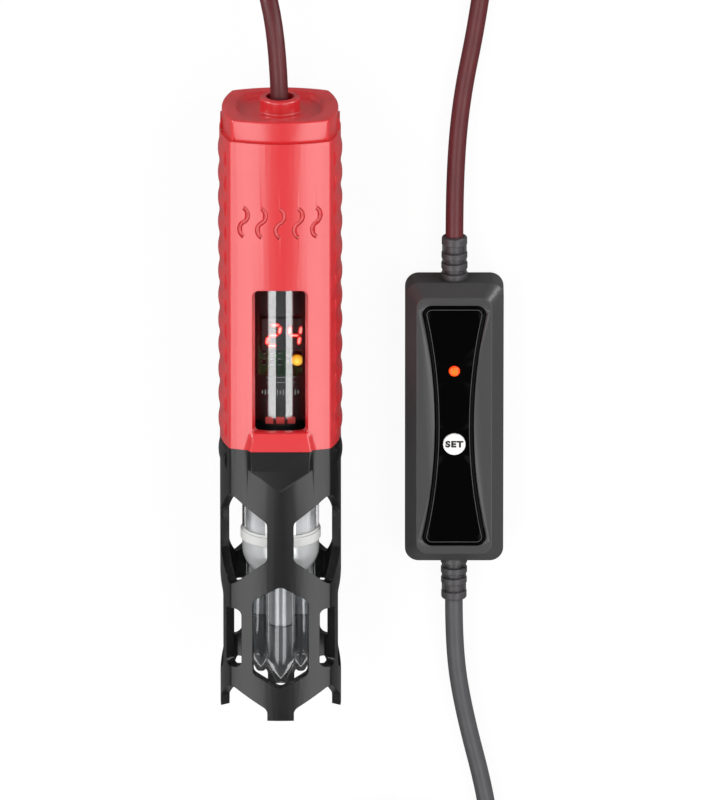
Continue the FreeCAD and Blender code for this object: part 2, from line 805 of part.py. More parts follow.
def top_cap():
    body = new_body("top_cap")
    plate = section(body, "rim_high")
    bowed_square(plate, "cap_corner", "cap_bow")
    pad(body, plate, "cap_rise", backwards=True)
    round_edges(body, "cap_round", along_axis)
    top = worth("cap_top")
    round_edges(body, "cap_lip", at_height(top, "y"))
    dish = section(body, "cap_top - dish_deep")
    bowed_square(dish, "dish_corner", "dish_bow")
    pocket(body, dish, "dish_deep + 1", taper="dish_slope")
    floor = "cap_top - dish_deep"
    revolve(body, [
        ("0", f"{floor} - 1", "0"), ("boss_radius + boss_foot", f"{floor} - 1", "0"),
        ("boss_radius + boss_foot", floor, "0"), ("boss_radius", f"{floor} + boss_foot", "0"),
        ("boss_radius", "heater_long", "boss_round"), ("0", "heater_long", "0"),
    ])
    spigot = section(body, "rim_high - cap_spigot")
    bowed_square(spigot, "face_corner", "face_bow", "spigot_inset")
    pad(body, spigot, "cap_spigot", backwards=True)
    hollow = section(body, "rim_high - cap_spigot")
    bowed_square(hollow, "face_corner", "face_bow", "bore_inset")
    pocket(body, hollow, "cap_spigot + cap_rise - cap_plate - dish_deep")
    bore = section(body, "rim_high")
    circle(bore, "0", "0", "boss_bore")
    pocket(body, bore, "cap_rise + boss_rise + 1")
    notch = section(body, "rim_high")
    for side in (1, -1):
        inner = "(bow_half - tab_set_back - tab_thick - tab_slack)"
        rectangle(notch, f"(bow_half - {inner}) / 2", "tab_half + tab_slack",
                  x=f"{side} * (bow_half + {inner}) / 2")
    pocket(body, notch, "tab_rise + tab_slack")
    return keep(body, "top_cap", HEATER)


def centring_ring(label, low, inset):
    body = new_body(label)
    profile = section(body, low)
    bowed_square(profile, "face_corner", "face_bow", f"{inset} + seal_slack")
    circle(profile, "0", "0", "glass_radius + seal_slack / 2")
    pad(body, profile, "ring_tall", backwards=True)
    return keep(body, label, HEATER)


# Inside of the heater

def glass_parts():
    keep(turned("display_tube", [
        ("glass_bore", "collar_top + seal_thick", "0"), ("glass_radius", "collar_top + seal_thick", "0"),
        ("glass_radius", "glass_top", "glass_wall * 0.4"), ("glass_bore", "glass_top", "glass_wall * 0.4"),
    ]), "display_tube", HEATER)
    neck_low = "glass_top + stopper_flange"
    keep(turned("tube_stopper", [
        ("0", "glass_top - stopper_deep", "0"),
        ("glass_bore - seal_slack", "glass_top - stopper_deep", "1"),
        ("glass_bore - seal_slack", "glass_top", "0"), ("glass_radius - seal_slack", "glass_top", "0"),
        ("glass_radius - seal_slack", neck_low, "1"), ("stopper_neck", neck_low, "0"),
        ("stopper_neck", "stopper_top", "1"), ("0", "stopper_top", "0"),
    ]), "tube_stopper", HEATER)
    keep(turned("head_seal", [
        ("glass_bore - seal_slack", "collar_top", "0"), ("glass_radius", "collar_top", "0"),
        ("glass_radius", "collar_top + seal_thick", "0"),
        ("glass_bore - seal_slack", "collar_top + seal_thick", "0"),
    ]), "head_seal", HEATER)


def heating_places():
    """The name and the (x, z) place of each heating tube round the axis."""
    for name, degrees in (("front", 90), ("left", 210), ("right", 330)):
        yield name, f"heating_pitch * cos({degrees})", f"heating_pitch * sin({degrees})"


def lower_head():
    body = turned("lower_head", [
        ("0", "head_low", "0"), ("glass_radius", "head_low", "head_dome"),
        ("glass_radius", "collar_low", "0"), ("glass_radius + collar_proud", "collar_low", "0.4"),
        ("glass_radius + collar_proud", "collar_top", "0.4"),
        ("glass_bore - 2 * seal_slack", "collar_top", "0"),
        ("glass_bore - 2 * seal_slack", "collar_top + head_spigot", "0.8"),
        ("0", "collar_top + head_spigot", "0"),
    ])
    bores = section(body, "head_low - 1")
    for _, x, z in heating_places():
        circle(bores, x, z, "heating_radius + seal_slack")
    pocket(body, bores, "heating_top + seal_slack - head_low + 1")
    passages = section(body, "core_top")
    for _, x, z in heating_places():
        circle(passages, x, z, "lead_radius + seal_slack")
    pocket(body, passages, "collar_top + head_spigot")
    probe = section(body, "probe_low")
    circle(probe, "0", "0", "probe_radius + seal_slack")
    pocket(body, probe, "collar_top + head_spigot")
    return keep(body, "lower_head", HEATER)


def heating_tubes():
    nose = "heating_tip + heating_nose"
    inner = "heating_radius - heating_wall"
    for name, x, z in heating_places():
        place = (f"heater_side + {x}", "heater_foot", f"axis_high + {z}")
        keep(turned(f"heating_tube_{name}", [
            ("0", "heating_tip", "0"), ("1.6", "heating_tip", "1.2"),
            ("heating_radius", nose, "heating_radius * 0.9"), ("heating_radius", "heating_top", "0"),
            (inner, "heating_top", "0"), (inner, f"{nose} + 1", "heating_radius * 0.6"),
            ("0", "heating_tip + 2 * heating_wall", "0"),
        ]), f"heating_tube_{name}", place)
        keep(turned(f"heating_core_{name}", [
            ("0", "core_low", "0"), ("core_radius", "core_low", "0.5"),
            ("core_radius", "core_top", "0.5"), ("0", "core_top", "0"),
        ]), f"heating_core_{name}", place)
    keep(turned("temperature_probe", [
        ("0", "probe_low", "0"), ("probe_radius", "probe_low", "probe_radius * 0.9"),
        ("probe_radius", "probe_top", "0.4"), ("0", "probe_top", "0"),
    ]), "temperature_probe", HEATER)
    wires = []
    for _, x, z in heating_places():
        wire = document.addObject("Part::Cylinder", "element_wire")
        bind(wire, "Radius", "lead_radius")
        bind(wire, "Height", "board_low - core_top + 6")
        put(wire, x, "core_top", z, (1, 0, 0), -90)
        wires.append(wire)
    group("element_wires", wires, HEATER)


def box(name, wide, long, tall, x, y, z):
    """A block centred on (x, y) that stands on z."""
    block = document.addObject("Part::Box", name)
    bind(block, "Length", wide)
    bind(block, "Width", long)
    bind(block, "Height", tall)
    return put(block, f"({x}) - ({wide}) / 2", f"({y}) - ({long}) / 2", z)


def softened(block, radius, wanted, name):
    """The same block with the edges that a test picks rounded."""
    document.recompute()
    shape = document.addObject("Part::Fillet", name)
    shape.Base = block
    size = worth(radius)
    shape.Edges = [(index, size, size)
                   for index, edge in enumerate(block.Shape.Edges, start=1) if wanted(edge)]
    return shape


def display_parts():
    board = new_body("display_board")
    sheet_outline = sketch_on(board, "XY_Plane", "-board_thick / 2")
    rectangle(sheet_outline, "board_half", "(board_top - board_low) / 2", "1.5",
              y="(board_top + board_low) / 2")
    pad(board, sheet_outline, "board_thick")
    keep(board, "display_board", HEATER)
    module = new_body("led_display")
    face = sketch_on(module, "XY_Plane", "board_front")
    rectangle(face, "display_half", "display_tall / 2", "0.4", x="display_side", y="display_mid")
    pad(module, face, "display_deep")
    round_edges(module, "0.4", at_height(worth("display_face")), "Chamfer")
    keep(module, "led_display", HEATER)
    keep(lit_digits(), "display_digits", HEATER)
    led = turned("heating_led", [
        ("0", "board_front", "0"), ("heating_led_radius + 0.4", "board_front", "0"),
        ("heating_led_radius + 0.4", "board_front + 1", "0"), ("heating_led_radius", "board_front + 1", "0"),
        ("heating_led_radius", "board_front + heating_led_rise", "heating_led_radius * 0.96"),
        ("0", "board_front + heating_led_rise", "0"),
    ], "XZ_Plane")
    keep(led, "heating_led", ("heater_side + heating_led_side", "heater_foot + heating_led_at", "axis_high"))
    keep(label_card(), "label_card", HEATER)
    fuse = document.addObject("Part::Cylinder", "thermal_fuse")
    bind(fuse, "Radius", "fuse_radius")
    bind(fuse, "Height", "fuse_long")
    fuse.Placement.Rotation = FreeCAD.Rotation(FreeCAD.Vector(1, 0, 0), -90)
    keep(fuse, "thermal_fuse",
         ("heater_side", "heater_foot + board_low + 4", "axis_high + board_front + fuse_radius"))


def segment(sketch, x_mid, y_mid, upright, long):
    """One six-sided segment of a digit, sheared with the digit's slant."""
    half, tip = f"(({long}) / 2)", "(digit_stroke / 2)"
    along = [(-1, 0, 0), (-1, 1, 1), (1, -1, 1), (1, 0, 0), (1, -1, -1), (-1, 1, -1)]
    corners = []
    for end, back, across in along:
        length = f"({end} * {half} + {back} * {tip})"
        width = f"({across} * {tip})"
        x, y = (width, length) if upright else (length, width)
        up = f"(({y_mid}) + {y})"
        corners.append((f"({x_mid}) + {x} + digit_slant * {up}", f"display_mid + {up}", "0"))
    outline(sketch, corners)


def lit_digits():
    """The lit segments of a two and a four on the face of the display."""
    body = new_body("display_digits")
    sketch = sketch_on(body, "XY_Plane", "display_face")
    wide, tall = "digit_wide - digit_stroke", "(digit_tall - digit_stroke) / 2"
    flat, upright = f"{wide} - 0.3", f"{tall} - 0.3"
    places = {
        "top": ("0", tall, False), "middle": ("0", "0", False), "bottom": ("0", f"-({tall})", False),
        "upper_left": (f"-({wide}) / 2", f"{tall} / 2", True),
        "upper_right": (f"({wide}) / 2", f"{tall} / 2", True),
        "lower_left": (f"-({wide}) / 2", f"-{tall} / 2", True),
        "lower_right": (f"({wide}) / 2", f"-{tall} / 2", True),
    }
    digits = {
        -1: ("top", "upper_right", "middle", "lower_left", "bottom"),
        1: ("upper_left", "upper_right", "middle", "lower_right"),
    }
    for side, lit in digits.items():
        centre = f"display_side + {side} * (digit_wide + digit_gap) / 2"
        for name in lit:
            x, y, stands = places[name]
            segment(sketch, f"{centre} + {x}", y, stands, upright if stands else flat)
    pad(body, sketch, "digit_proud")
    return body


def label_card():
    """A rolled card behind the glass, open at the back, with a window for the display."""
    body = new_body("label_card")
    profile = section(body, "card_low")
    circle(profile, "0", "0", "glass_bore - card_slack")
    circle(profile, "0", "0", "glass_bore - card_slack - card_thick")
    pad(body, profile, "card_top - card_low", backwards=True)
    back = sketch_on(body, "XY_Plane", "-glass_radius")
    rectangle(back, "glass_radius", "(card_top - card_low) / 2 + 1", y="(card_top + card_low) / 2")
    pocket(body, back, "glass_radius - 1", backwards=True)
    opening = sketch_on(body, "XY_Plane")
    rectangle(opening, "card_window_half", "(card_window_top - card_window_low) / 2",
              y="(card_window_top + card_window_low) / 2")
    pocket(body, opening, "glass_radius", backwards=True)
    return body


def suction_cup(label, at):
    """A soft cup turned about its peg: hollow below, with a stem and a head in the sleeve."""
    rim = "-axis_high"
    boss = "-(bow_half + peg_boss_rise + cup_end_play)"
    inside = "-(bow_half - sleeve_wall - cup_end_play)"
    body = turned(label, [
        ("0", f"{inside} + cup_head_thick", "0"), ("cup_head", f"{inside} + cup_head_thick", "0.8"),
        ("cup_head", inside, "0"), ("cup_stem", inside, "0"), ("cup_stem", boss, "0"),
        ("cup_shoulder", boss, "0.8"), ("cup_shoulder", f"{boss} - cup_shoulder_rise", "2"),
        ("cup_radius", f"{rim} + cup_rim", "cup_rim"), ("cup_radius", rim, "0.3"),
        ("cup_radius - cup_wall", rim, "0.3"),
        ("cup_shoulder * 0.6", f"{boss} - cup_shoulder_rise - 0.6 * cup_wall", "4"),
        ("0", f"{boss} - cup_shoulder_rise - 0.6 * cup_wall", "0"),
    ], "XZ_Plane")
    keep(body, label, ("heater_side", f"heater_foot + {at}", "axis_high"))


# Controller

def case_outline(sketch, inset="0", radius="case_round"):
    rectangle(sketch, f"case_wide / 2 - ({inset})", f"case_long / 2 - ({inset})", radius)


def post_places():
    for side in (1, -1):
        for end in (1, -1):
            yield f"{side} * (case_wide / 2 - post_in)", f"{end} * (case_long / 2 - post_in)"


def gland_notches(body):
    """Half-round notches in both end walls, one half in each shell."""
    through = section(body, "-case_long")
    circle(through, "0", "case_split", "gland_neck + gland_fit")
    pocket(body, through, "2 * case_long")


def controller_back_shell():
    body = new_body("controller_back_shell")
    block = sketch_on(body, "XY_Plane")
    case_outline(block)
    pad(body, block, "case_split")
    round_edges(body, "case_back_round", at_height(0))
    hollow = sketch_on(body, "XY_Plane", "case_wall")
    case_outline(hollow, "case_wall", "case_round - case_wall")
    pocket(body, hollow, "case_split", backwards=True)
    posts = sketch_on(body, "XY_Plane", "case_wall / 2")
    for x, y in post_places():
        circle(posts, x, y, "post_radius")
    pad(body, posts, "case_split - case_wall / 2")
    standoffs = sketch_on(body, "XY_Plane", "case_wall / 2")
    for side in (1, -1):
        for end in (1, -1):
            circle(standoffs, f"{side} * (pcb_half - 3.5)", f"{end} * (pcb_half_long - 10)",
                   "standoff_radius")
    pad(body, standoffs, "pcb_high - case_wall / 2")
    holes = sketch_on(body, "XY_Plane")
    heads = sketch_on(body, "XY_Plane")
    for x, y in post_places():
        circle(holes, x, y, "screw_radius + screw_slack")
        circle(heads, x, y, "screw_head + screw_slack")
    pocket(body, holes, "case_split + 1", backwards=True)
    pocket(body, heads, "screw_head_thick + 0.5", backwards=True)
    gland_notches(body)
    return keep(body, "controller_back_shell", CASE)


def controller_front_shell():
    body = new_body("controller_front_shell")
    block = sketch_on(body, "XY_Plane", "case_split")
    case_outline(block)
    pad(body, block, "case_shoulder - case_split")
    low = sketch_on(body, "XY_Plane", "case_shoulder")
    case_outline(low)
    high = sketch_on(body, "XY_Plane", "case_tall")
    case_outline(high, "plateau_inset", "plateau_round")
    slopes = body.newObject("PartDesign::AdditiveLoft", "controller_slopes")
    slopes.Profile = low
    slopes.Sections = [high]
    slopes.Ruled = True
    document.recompute()
    round_edges(body, "0.5", at_height(worth("case_tall")))
    lower_hollow = sketch_on(body, "XY_Plane", "case_split")
    case_outline(lower_hollow, "case_wall", "case_round - case_wall")
    pocket(body, lower_hollow, "case_shoulder - case_split + 0.1", backwards=True)
    upper_hollow = sketch_on(body, "XY_Plane", "case_split")
    case_outline(upper_hollow, "plateau_inset + case_wall * 0.8", "plateau_round - case_wall")
    pocket(body, upper_hollow, "case_tall - case_top_wall - case_split", backwards=True)
    posts = sketch_on(body, "XY_Plane", "case_split")
    for x, y in post_places():
        circle(posts, x, y, "post_radius")
    pad(body, posts, "case_shoulder - case_split")
    pilots = sketch_on(body, "XY_Plane", "case_split")
    for x, y in post_places():
        circle(pilots, x, y, "screw_radius + screw_slack / 2")
    pocket(body, pilots, "screw_head_thick + screw_long - case_split + 1", backwards=True)
    recess = sketch_on(body, "XY_Plane", "plateau_floor")
    hourglass(recess, "panel_end_half", "panel_waist_half", "panel_half_long", "panel_round")
    pocket(body, recess, "panel_deep + 1", backwards=True)
    holes = sketch_on(body, "XY_Plane", "case_split")
    circle(holes, "0", "button_at", "button_radius + button_slack")
    circle(holes, "0", "power_led_at", "power_led_radius + button_slack")
    pocket(body, holes, "case_tall", backwards=True)
    gland_notches(body)
    return keep(body, "controller_front_shell", CASE)


def face_panel():
    body = new_body("face_panel")
    sheet_outline = sketch_on(body, "XY_Plane", "plateau_floor")
    hourglass(sheet_outline, "panel_end_half", "panel_waist_half", "panel_half_long", "panel_round",
              "panel_slack")
    pad(body, sheet_outline, "panel_thick / 2")
    raised = sketch_on(body, "XY_Plane", "plateau_floor")
    hourglass(raised, "panel_end_half", "panel_waist_half", "panel_half_long", "panel_round",
              "panel_slack + panel_step")
    pad(body, raised, "panel_thick")
    holes = sketch_on(body, "XY_Plane", "plateau_floor")
    circle(holes, "0", "button_at", "button_radius + button_slack")
    circle(holes, "0", "power_led_at", "power_led_radius + button_slack")
    pocket(body, holes, "panel_deep + 1", backwards=True)
    return keep(body, "face_panel", CASE)


def button_parts():
    at_button = ("case_side", "case_along + button_at", "0")
    stem_end = "switch_top + 0.6"
    keep(turned("set_button", [
        ("0", stem_end, "0"), ("button_stem", stem_end, "0"),
        ("button_stem", "button_floor - button_flange_thick", "0"),
        ("button_radius + button_flange", "button_floor - button_flange_thick", "0"),
        ("button_radius + button_flange", "button_floor", "0"), ("button_radius", "button_floor", "0"),
        ("button_radius", "case_tall + button_proud", "button_round"), ("0", "case_tall + button_proud", "0"),
    ], "XZ_Plane"), "set_button", at_button)
    bore = "switch_bore - 0.1"
    keep(turned("switch_plunger", [
        ("0", "pcb_top + button_travel + 0.5", "0"), (bore, "pcb_top + button_travel + 0.5", "0"),
        (bore, stem_end, "0.2"), ("0", stem_end, "0"),
    ], "XZ_Plane"), "switch_plunger", at_button)
    switch = new_body("tactile_switch")
    block = sketch_on(switch, "XY_Plane", "pcb_top")
    rectangle(block, "switch_half", "switch_half", "0.4")
    pad(switch, block, "switch_tall")
    well = sketch_on(switch, "XY_Plane", "pcb_top + 0.4")
    circle(well, "0", "0", "switch_bore")
    pocket(switch, well, "switch_tall", backwards=True)
    keep(switch, "tactile_switch", at_button)
    keep(turned("power_led", [
        ("0", "pcb_top", "0"), ("power_led_radius * 0.7", "pcb_top", "0"),
        ("power_led_radius * 0.7", "case_shoulder", "0"), ("power_led_radius + 0.4", "case_shoulder", "0"),
        ("power_led_radius + 0.4", "case_shoulder + 1", "0"), ("power_led_radius", "case_shoulder + 1", "0"),
        ("power_led_radius", "case_tall + power_led_proud", "power_led_radius * 0.5"),
        ("0", "case_tall + power_led_proud", "0"),
    ], "XZ_Plane"), "power_led", ("case_side", "case_along + power_led_at", "0"))


def board_parts():
    board = new_body("control_board")
    slab = sketch_on(board, "XY_Plane", "pcb_high")
    rectangle(slab, "pcb_half", "pcb_half_long", "pcb_round")
    pad(board, slab, "pcb_thick")
    keep(board, "control_board", CASE)
    blocks = {
        "relay": ("relay_wide", "relay_long", "relay_tall", "1.8 - side_shift", "relay_at", "0.5"),
        "film_capacitor": ("film_wide", "film_long", "film_tall", "-side_shift", "film_at", "0.8"),
        "control_chip": ("2 * chip_half", "chip_long", "chip_tall", "side_shift + 1", "chip_at", "0.3"),
    }
    for label, (wide, long, tall, x, y, radius) in blocks.items():
        block = box(f"{label}_block", wide, long, tall, x, y, "pcb_top")
        upper = at_height(worth(f"pcb_top + {tall}"))
        keep(softened(block, radius, upper, label), label, CASE)
    can = turned("supply_capacitor", [
        ("0", "pcb_top", "0"), ("reservoir_radius", "pcb_top", "0.4"),
        ("reservoir_radius", "pcb_top + reservoir_tall", "0.6"), ("0", "pcb_top + reservoir_tall", "0"),
    ], "XZ_Plane")
    keep(can, "supply_capacitor", ("case_side + side_shift + 1.2", "case_along + reservoir_at", "0"))
    link_ends = [
        ("0", "-link_long / 2", "0"), ("link_radius + 0.3", "-link_long / 2", "0.3"),
        ("link_radius + 0.3", "-link_long / 2 + 4", "0"), ("link_radius", "-link_long / 2 + 4", "0"),
        ("link_radius", "link_long / 2 - 4", "0"), ("link_radius + 0.3", "link_long / 2 - 4", "0"),
        ("link_radius + 0.3", "link_long / 2", "0.3"), ("0", "link_long / 2", "0"),
    ]
    keep(turned("board_fuse", link_ends), "board_fuse",
         ("case_side + side_shift", "case_along + link_at", "pcb_top + link_radius + 0.3"))
    for label, end in (("terminal_upper", 1), ("terminal_lower", -1)):
        body = new_body(label)
        base = sketch_on(body, "XY_Plane", "pcb_top")
        middle = f"{end} * (pcb_half_long - terminal_in)"
        rectangle(base, "terminal_wide / 2", "terminal_long / 2", y=middle)
        pad(body, base, "terminal_tall")
        wells = sketch_on(body, "XY_Plane", "pcb_top + terminal_tall / 2")
        for step in (-1, 0, 1):
            circle(wells, f"{step} * terminal_wide / 3", middle, "terminal_wide / 9")
        pocket(body, wells, "terminal_tall", backwards=True)
        keep(body, label, CASE)


def case_screws():
    screws = []
    for x, y in post_places():
        screw = turned("case_screw", [
            ("0", "0.4", "0"), ("screw_head", "0.4", "0.3"), ("screw_head", "screw_head_thick + 0.4", "0"),
            ("screw_radius", "screw_head_thick + 0.4", "0"),
            ("screw_radius", "screw_head_thick + screw_long", "0.4"),
            ("0", "screw_head_thick + screw_long", "0"),
        ], "XZ_Plane")
        put(screw, x, y, "0")
        screws.append(screw)
    group("case_screws", screws, CASE)


def gland(label, end):
    """A strain relief along Y: a flange inside the wall, a neck, and a tapered boot of ribs on two rails."""
    wall = "(case_long / 2)"
    tip = f"({wall} + gland_long)"
    inner = f"({wall} - case_wall - gland_flange_thick - 0.1)"
    corners = [("0", inner, "0"), ("gland_flange", inner, "0.3"),
               ("gland_flange", f"{wall} - case_wall - 0.1", "0"),
               ("gland_neck", f"{wall} - case_wall - 0.1", "0"),
               ("gland_neck", f"{wall} + 0.1", "0")]
    slots = SIZES["gland_slots"]
    at = f"{wall} + 0.1"
    for number in range(slots + 1):
        last = number == slots
        rib = "gland_first_rib" if last else "gland_rib"
        wide = f"(gland_root + (gland_tip - gland_root) * {number} / gland_slots)"
        begin = f"{tip} - gland_first_rib" if last else at
        finish = tip if last else f"{at} + {rib}"
        if number:
            corners.append(("gland_core", begin, "0"))
        corners.append((wide, begin, "0.3" if number else "0"))
        corners.append((wide, finish, "1" if last else "0.3"))
        if not last:
            corners.append(("gland_core", finish, "0"))
        at = f"{finish} + gland_slot"
    corners.append(("0", tip, "0"))
    body = turned(label, corners)
    rails = sketch_on(body, "XY_Plane", "-gland_rail_half")
    for side in (1, -1):
        rectangle(rails, "gland_rail_thick / 2", "gland_long / 2 - 0.5",
                  x=f"{side} * gland_rail_at", y=f"{wall} + gland_long / 2")
    pad(body, rails, "2 * gland_rail_half")
    body.Placement.Rotation = FreeCAD.Rotation(FreeCAD.Vector(0, 0, 1), 0 if end > 0 else 180)
    return keep(body, label, ("case_side", "case_along", "case_split"))


# Leads

def rounded_path(points):
    """Straight runs joined by tangent arcs as large as their runs allow, and the least radius."""
    edges, start, radii = [], points[0], []
    for before, corner, after in zip(points, points[1:], points[2:]):
        back, ahead = before - corner, after - corner
        run = min(back.Length, ahead.Length)
        back, ahead = back.normalize(), ahead.normalize()
        half_turn = (math.pi - back.getAngle(ahead)) / 2
        reach = 0.45 * run
        radius = reach / math.tan(half_turn)
        radii.append(radius)
        first, last = corner + back * reach, corner + ahead * reach
        centre = corner + (back + ahead).normalize() * (radius / math.cos(half_turn))
        middle = centre + (corner - centre).normalize() * radius
        edges.append(Part.LineSegment(start, first).toShape())
        edges.append(Part.Arc(first, middle, last).toShape())
        start = last
    edges.append(Part.LineSegment(start, points[-1]).toShape())
    return edges, min(radii)


def swept(edges, label):
    """A round tube of the lead's thickness along a path, with its volume checked."""
    radius = worth("lead_radius_out")
    wire = Part.Wire(edges)
    first = edges[0]
    way = first.tangentAt(first.FirstParameter)
    ring = Part.Wire([Part.Circle(wire.Vertexes[0].Point, way, radius).toShape()])
    solid = wire.makePipeShell([ring], True, False)
    expected = math.pi * radius ** 2 * wire.Length
    print(f"{label}: length {wire.Length:.1f}, volume ratio {solid.Volume / expected:.4f}")
    if not solid.isValid() or abs(solid.Volume / expected - 1) > 0.01:
        raise RuntimeError(f"{label} is not a sound tube")
    feature = document.addObject("Part::Feature", label)
    feature.Shape = solid
    return keep(feature, label, WORLD)


def lead_run(label, points):
    edges, least = rounded_path([FreeCAD.Vector(*point) for point in points])
    print(f"{label}: least radius {least:.1f}")
    return swept(edges, label)


def biarc(start, way, end, end_way):
    """Two arcs that join two points with their directions."""
    chord, ways = end - start, way + end_way
    bend = 2 * (1 - way.dot(end_way))
    reach = (math.sqrt(chord.dot(ways) ** 2 + bend * chord.dot(chord)) - chord.dot(ways)) / bend
    joint = (start + end + (way - end_way) * reach) * 0.5
    edges = []
    for here, there, heading in ((start, joint, way), (joint, end, None)):
        line = there - here
        if heading is None:
            heading = line.normalize() * (2 * line.normalize().dot(end_way)) - end_way
            line = there - here
        length = line.Length
        unit = FreeCAD.Vector(line).normalize()
        side = heading - unit * heading.dot(unit)
        angle = heading.getAngle(unit)
        middle = here + line * 0.5 + side.normalize() * (length / 2 * math.tan(angle / 2))
        edges.append(Part.Arc(here, middle, there).toShape())
    return edges


def coil_point(turn, turns, centre, hand):
    """A point of the coil: it spirals in on the table, climbs, and spirals out on top."""
    step, mean = worth("turn_step"), worth("coil_mean")
    outer = mean + step * turns / 4
    depth = min(turn, turns - turn)
    radius = outer - step * depth
    climb = (turn - turns / 2) / 0.5 + 0.5
    rise = min(max(climb, 0), 1)
    angle = 2 * math.pi * turn * hand
    height = worth("coil_rest") + step * rise
    return FreeCAD.Vector(centre[0] + radius * math.cos(angle), centre[1] + radius * math.sin(angle), height)


def lead_coil(label, turns, centre, hand):
    """One unbroken tube of piled loops between two straight ends of one thickness."""
    thick = worth("lead_thick")
    quarter = 0.25
    steps = round(turns / quarter)
    points = [coil_point(index * quarter, turns, centre, hand) for index in range(steps + 1)]
    ways = []
    for index in range(steps + 1):
        small = 1e-4
        ahead = coil_point(min(index * quarter + small, turns), turns, centre, hand)
        behind = coil_point(max(index * quarter - small, 0), turns, centre, hand)
        flat = ahead - behind
        ways.append(flat.normalize())
    for index in (0, steps):
        angle = 2 * math.pi * index * quarter * hand
        ways[index] = FreeCAD.Vector(-math.sin(angle) * hand, math.cos(angle) * hand, 0)
    edges = [Part.LineSegment(points[0] - ways[0] * thick, points[0]).toShape()]
    for index in range(steps):
        edges.extend(biarc(points[index], ways[index], points[index + 1], ways[index + 1]))
    edges.append(Part.LineSegment(points[-1], points[-1] + ways[-1] * thick).toShape())
    least_gap(label, turns, centre, hand)
    swept(edges, label)
    return points[0] - ways[0] * thick, points[-1] + ways[-1] * thick


def least_gap(label, turns, centre, hand):
    """Print the least free space between one loop and the next, measured on points."""
    per_turn = 72
    count = round(turns * per_turn) + 1
    points = [coil_point(index / per_turn, turns, centre, hand) for index in range(count)]
    skip = per_turn // 4
    nearest = min((one - other).Length
                  for index, one in enumerate(points) for other in points[index + skip:])
    print(f"{label}: least gap {nearest - worth('lead_thick'):.2f}")


def coil_tie(label, turns, centre, degrees):
    """A flat band round all the loops of a coil, at one place on the ring."""
    spread = f"turn_step * {turns} / 4 + lead_thick / 2 + tie_slack"
    height = "turn_step + lead_thick + 2 * tie_slack"
    body = new_body(label)
    loop = sketch_on(body, "XZ_Plane", "-tie_wide / 2")
    middle = f"tie_thick + ({height}) / 2"
    rectangle(loop, f"{spread} + tie_thick", f"({height}) / 2 + tie_thick", "3.6", y=middle)
    rectangle(loop, spread, f"({height}) / 2", "2.7", y=middle)
    pad(body, loop, "tie_wide")
    turn = FreeCAD.Rotation(FreeCAD.Vector(0, 0, 1), degrees)
    body.Placement = FreeCAD.Placement(FreeCAD.Vector(), turn)
    keep(body, label, (f"{centre[0]} + coil_mean * cos({degrees})",
                       f"{centre[1]} + coil_mean * sin({degrees})", "0"))


def leads():
    case_x, case_y, split = worth("case_side"), worth("case_along"), worth("case_split")
    reach = worth("case_long / 2 + gland_long")
    heater_centre = (worth("heater_coil_side"), worth("heater_coil_along"))
    begin, end = lead_coil("heater_lead_coil", worth("heater_coil_turns"), heater_centre, 1)
    lead_run("heater_lead_start", [
        (case_x, case_y + reach, split),
        (case_x, case_y + reach + 24, split),
        (case_x + 2.5, case_y + reach + 56, 5.6),
        (begin.x - 4.5, begin.y - 62, 4.6),
        (begin.x, begin.y - 26, begin.z),
        tuple(begin),
    ])
    heater_x, axis_z = worth("heater_side"), worth("axis_high")
    mouth = worth("heater_foot + heater_long")
    lead_run("heater_lead_end", [
        tuple(end),
        (end.x, mouth + 48.5, end.z),
        (heater_x, mouth + 19, axis_z),
        (heater_x, worth("heater_foot + stopper_top"), axis_z),
    ])
    mains_centre = (worth("mains_coil_side"), worth("mains_coil_along"))
    begin, end = lead_coil("mains_lead_coil", worth("mains_coil_turns"), mains_centre, -1)
    lead_run("mains_lead_start", [
        (case_x, case_y - reach, split),
        (case_x, case_y - reach - 22, split),
        (case_x + 4, case_y - reach - 50, 5.6),
        (begin.x - 2.6, begin.y + 45, 4.6),
        (begin.x, begin.y + 18, begin.z),
        tuple(begin),
    ])
    plug_x, plug_y, plug_z = worth("plug_side + plug_boot_long"), worth("plug_along"), worth("plug_high")
    lead_run("mains_lead_end", [
        tuple(end),
        (end.x, end.y - 28, end.z),
        (end.x - 13.8, plug_y + 11.1, end.z - 1.8),
        (plug_x + 20.1, plug_y, plug_z),
        (plug_x, plug_y, plug_z),
    ])
    coil_tie("heater_lead_tie", "heater_coil_turns", ("heater_coil_side", "heater_coil_along"), 90)
    coil_tie("mains_lead_tie", "mains_coil_turns", ("mains_coil_side", "mains_coil_along"), 180)


# Mains plug

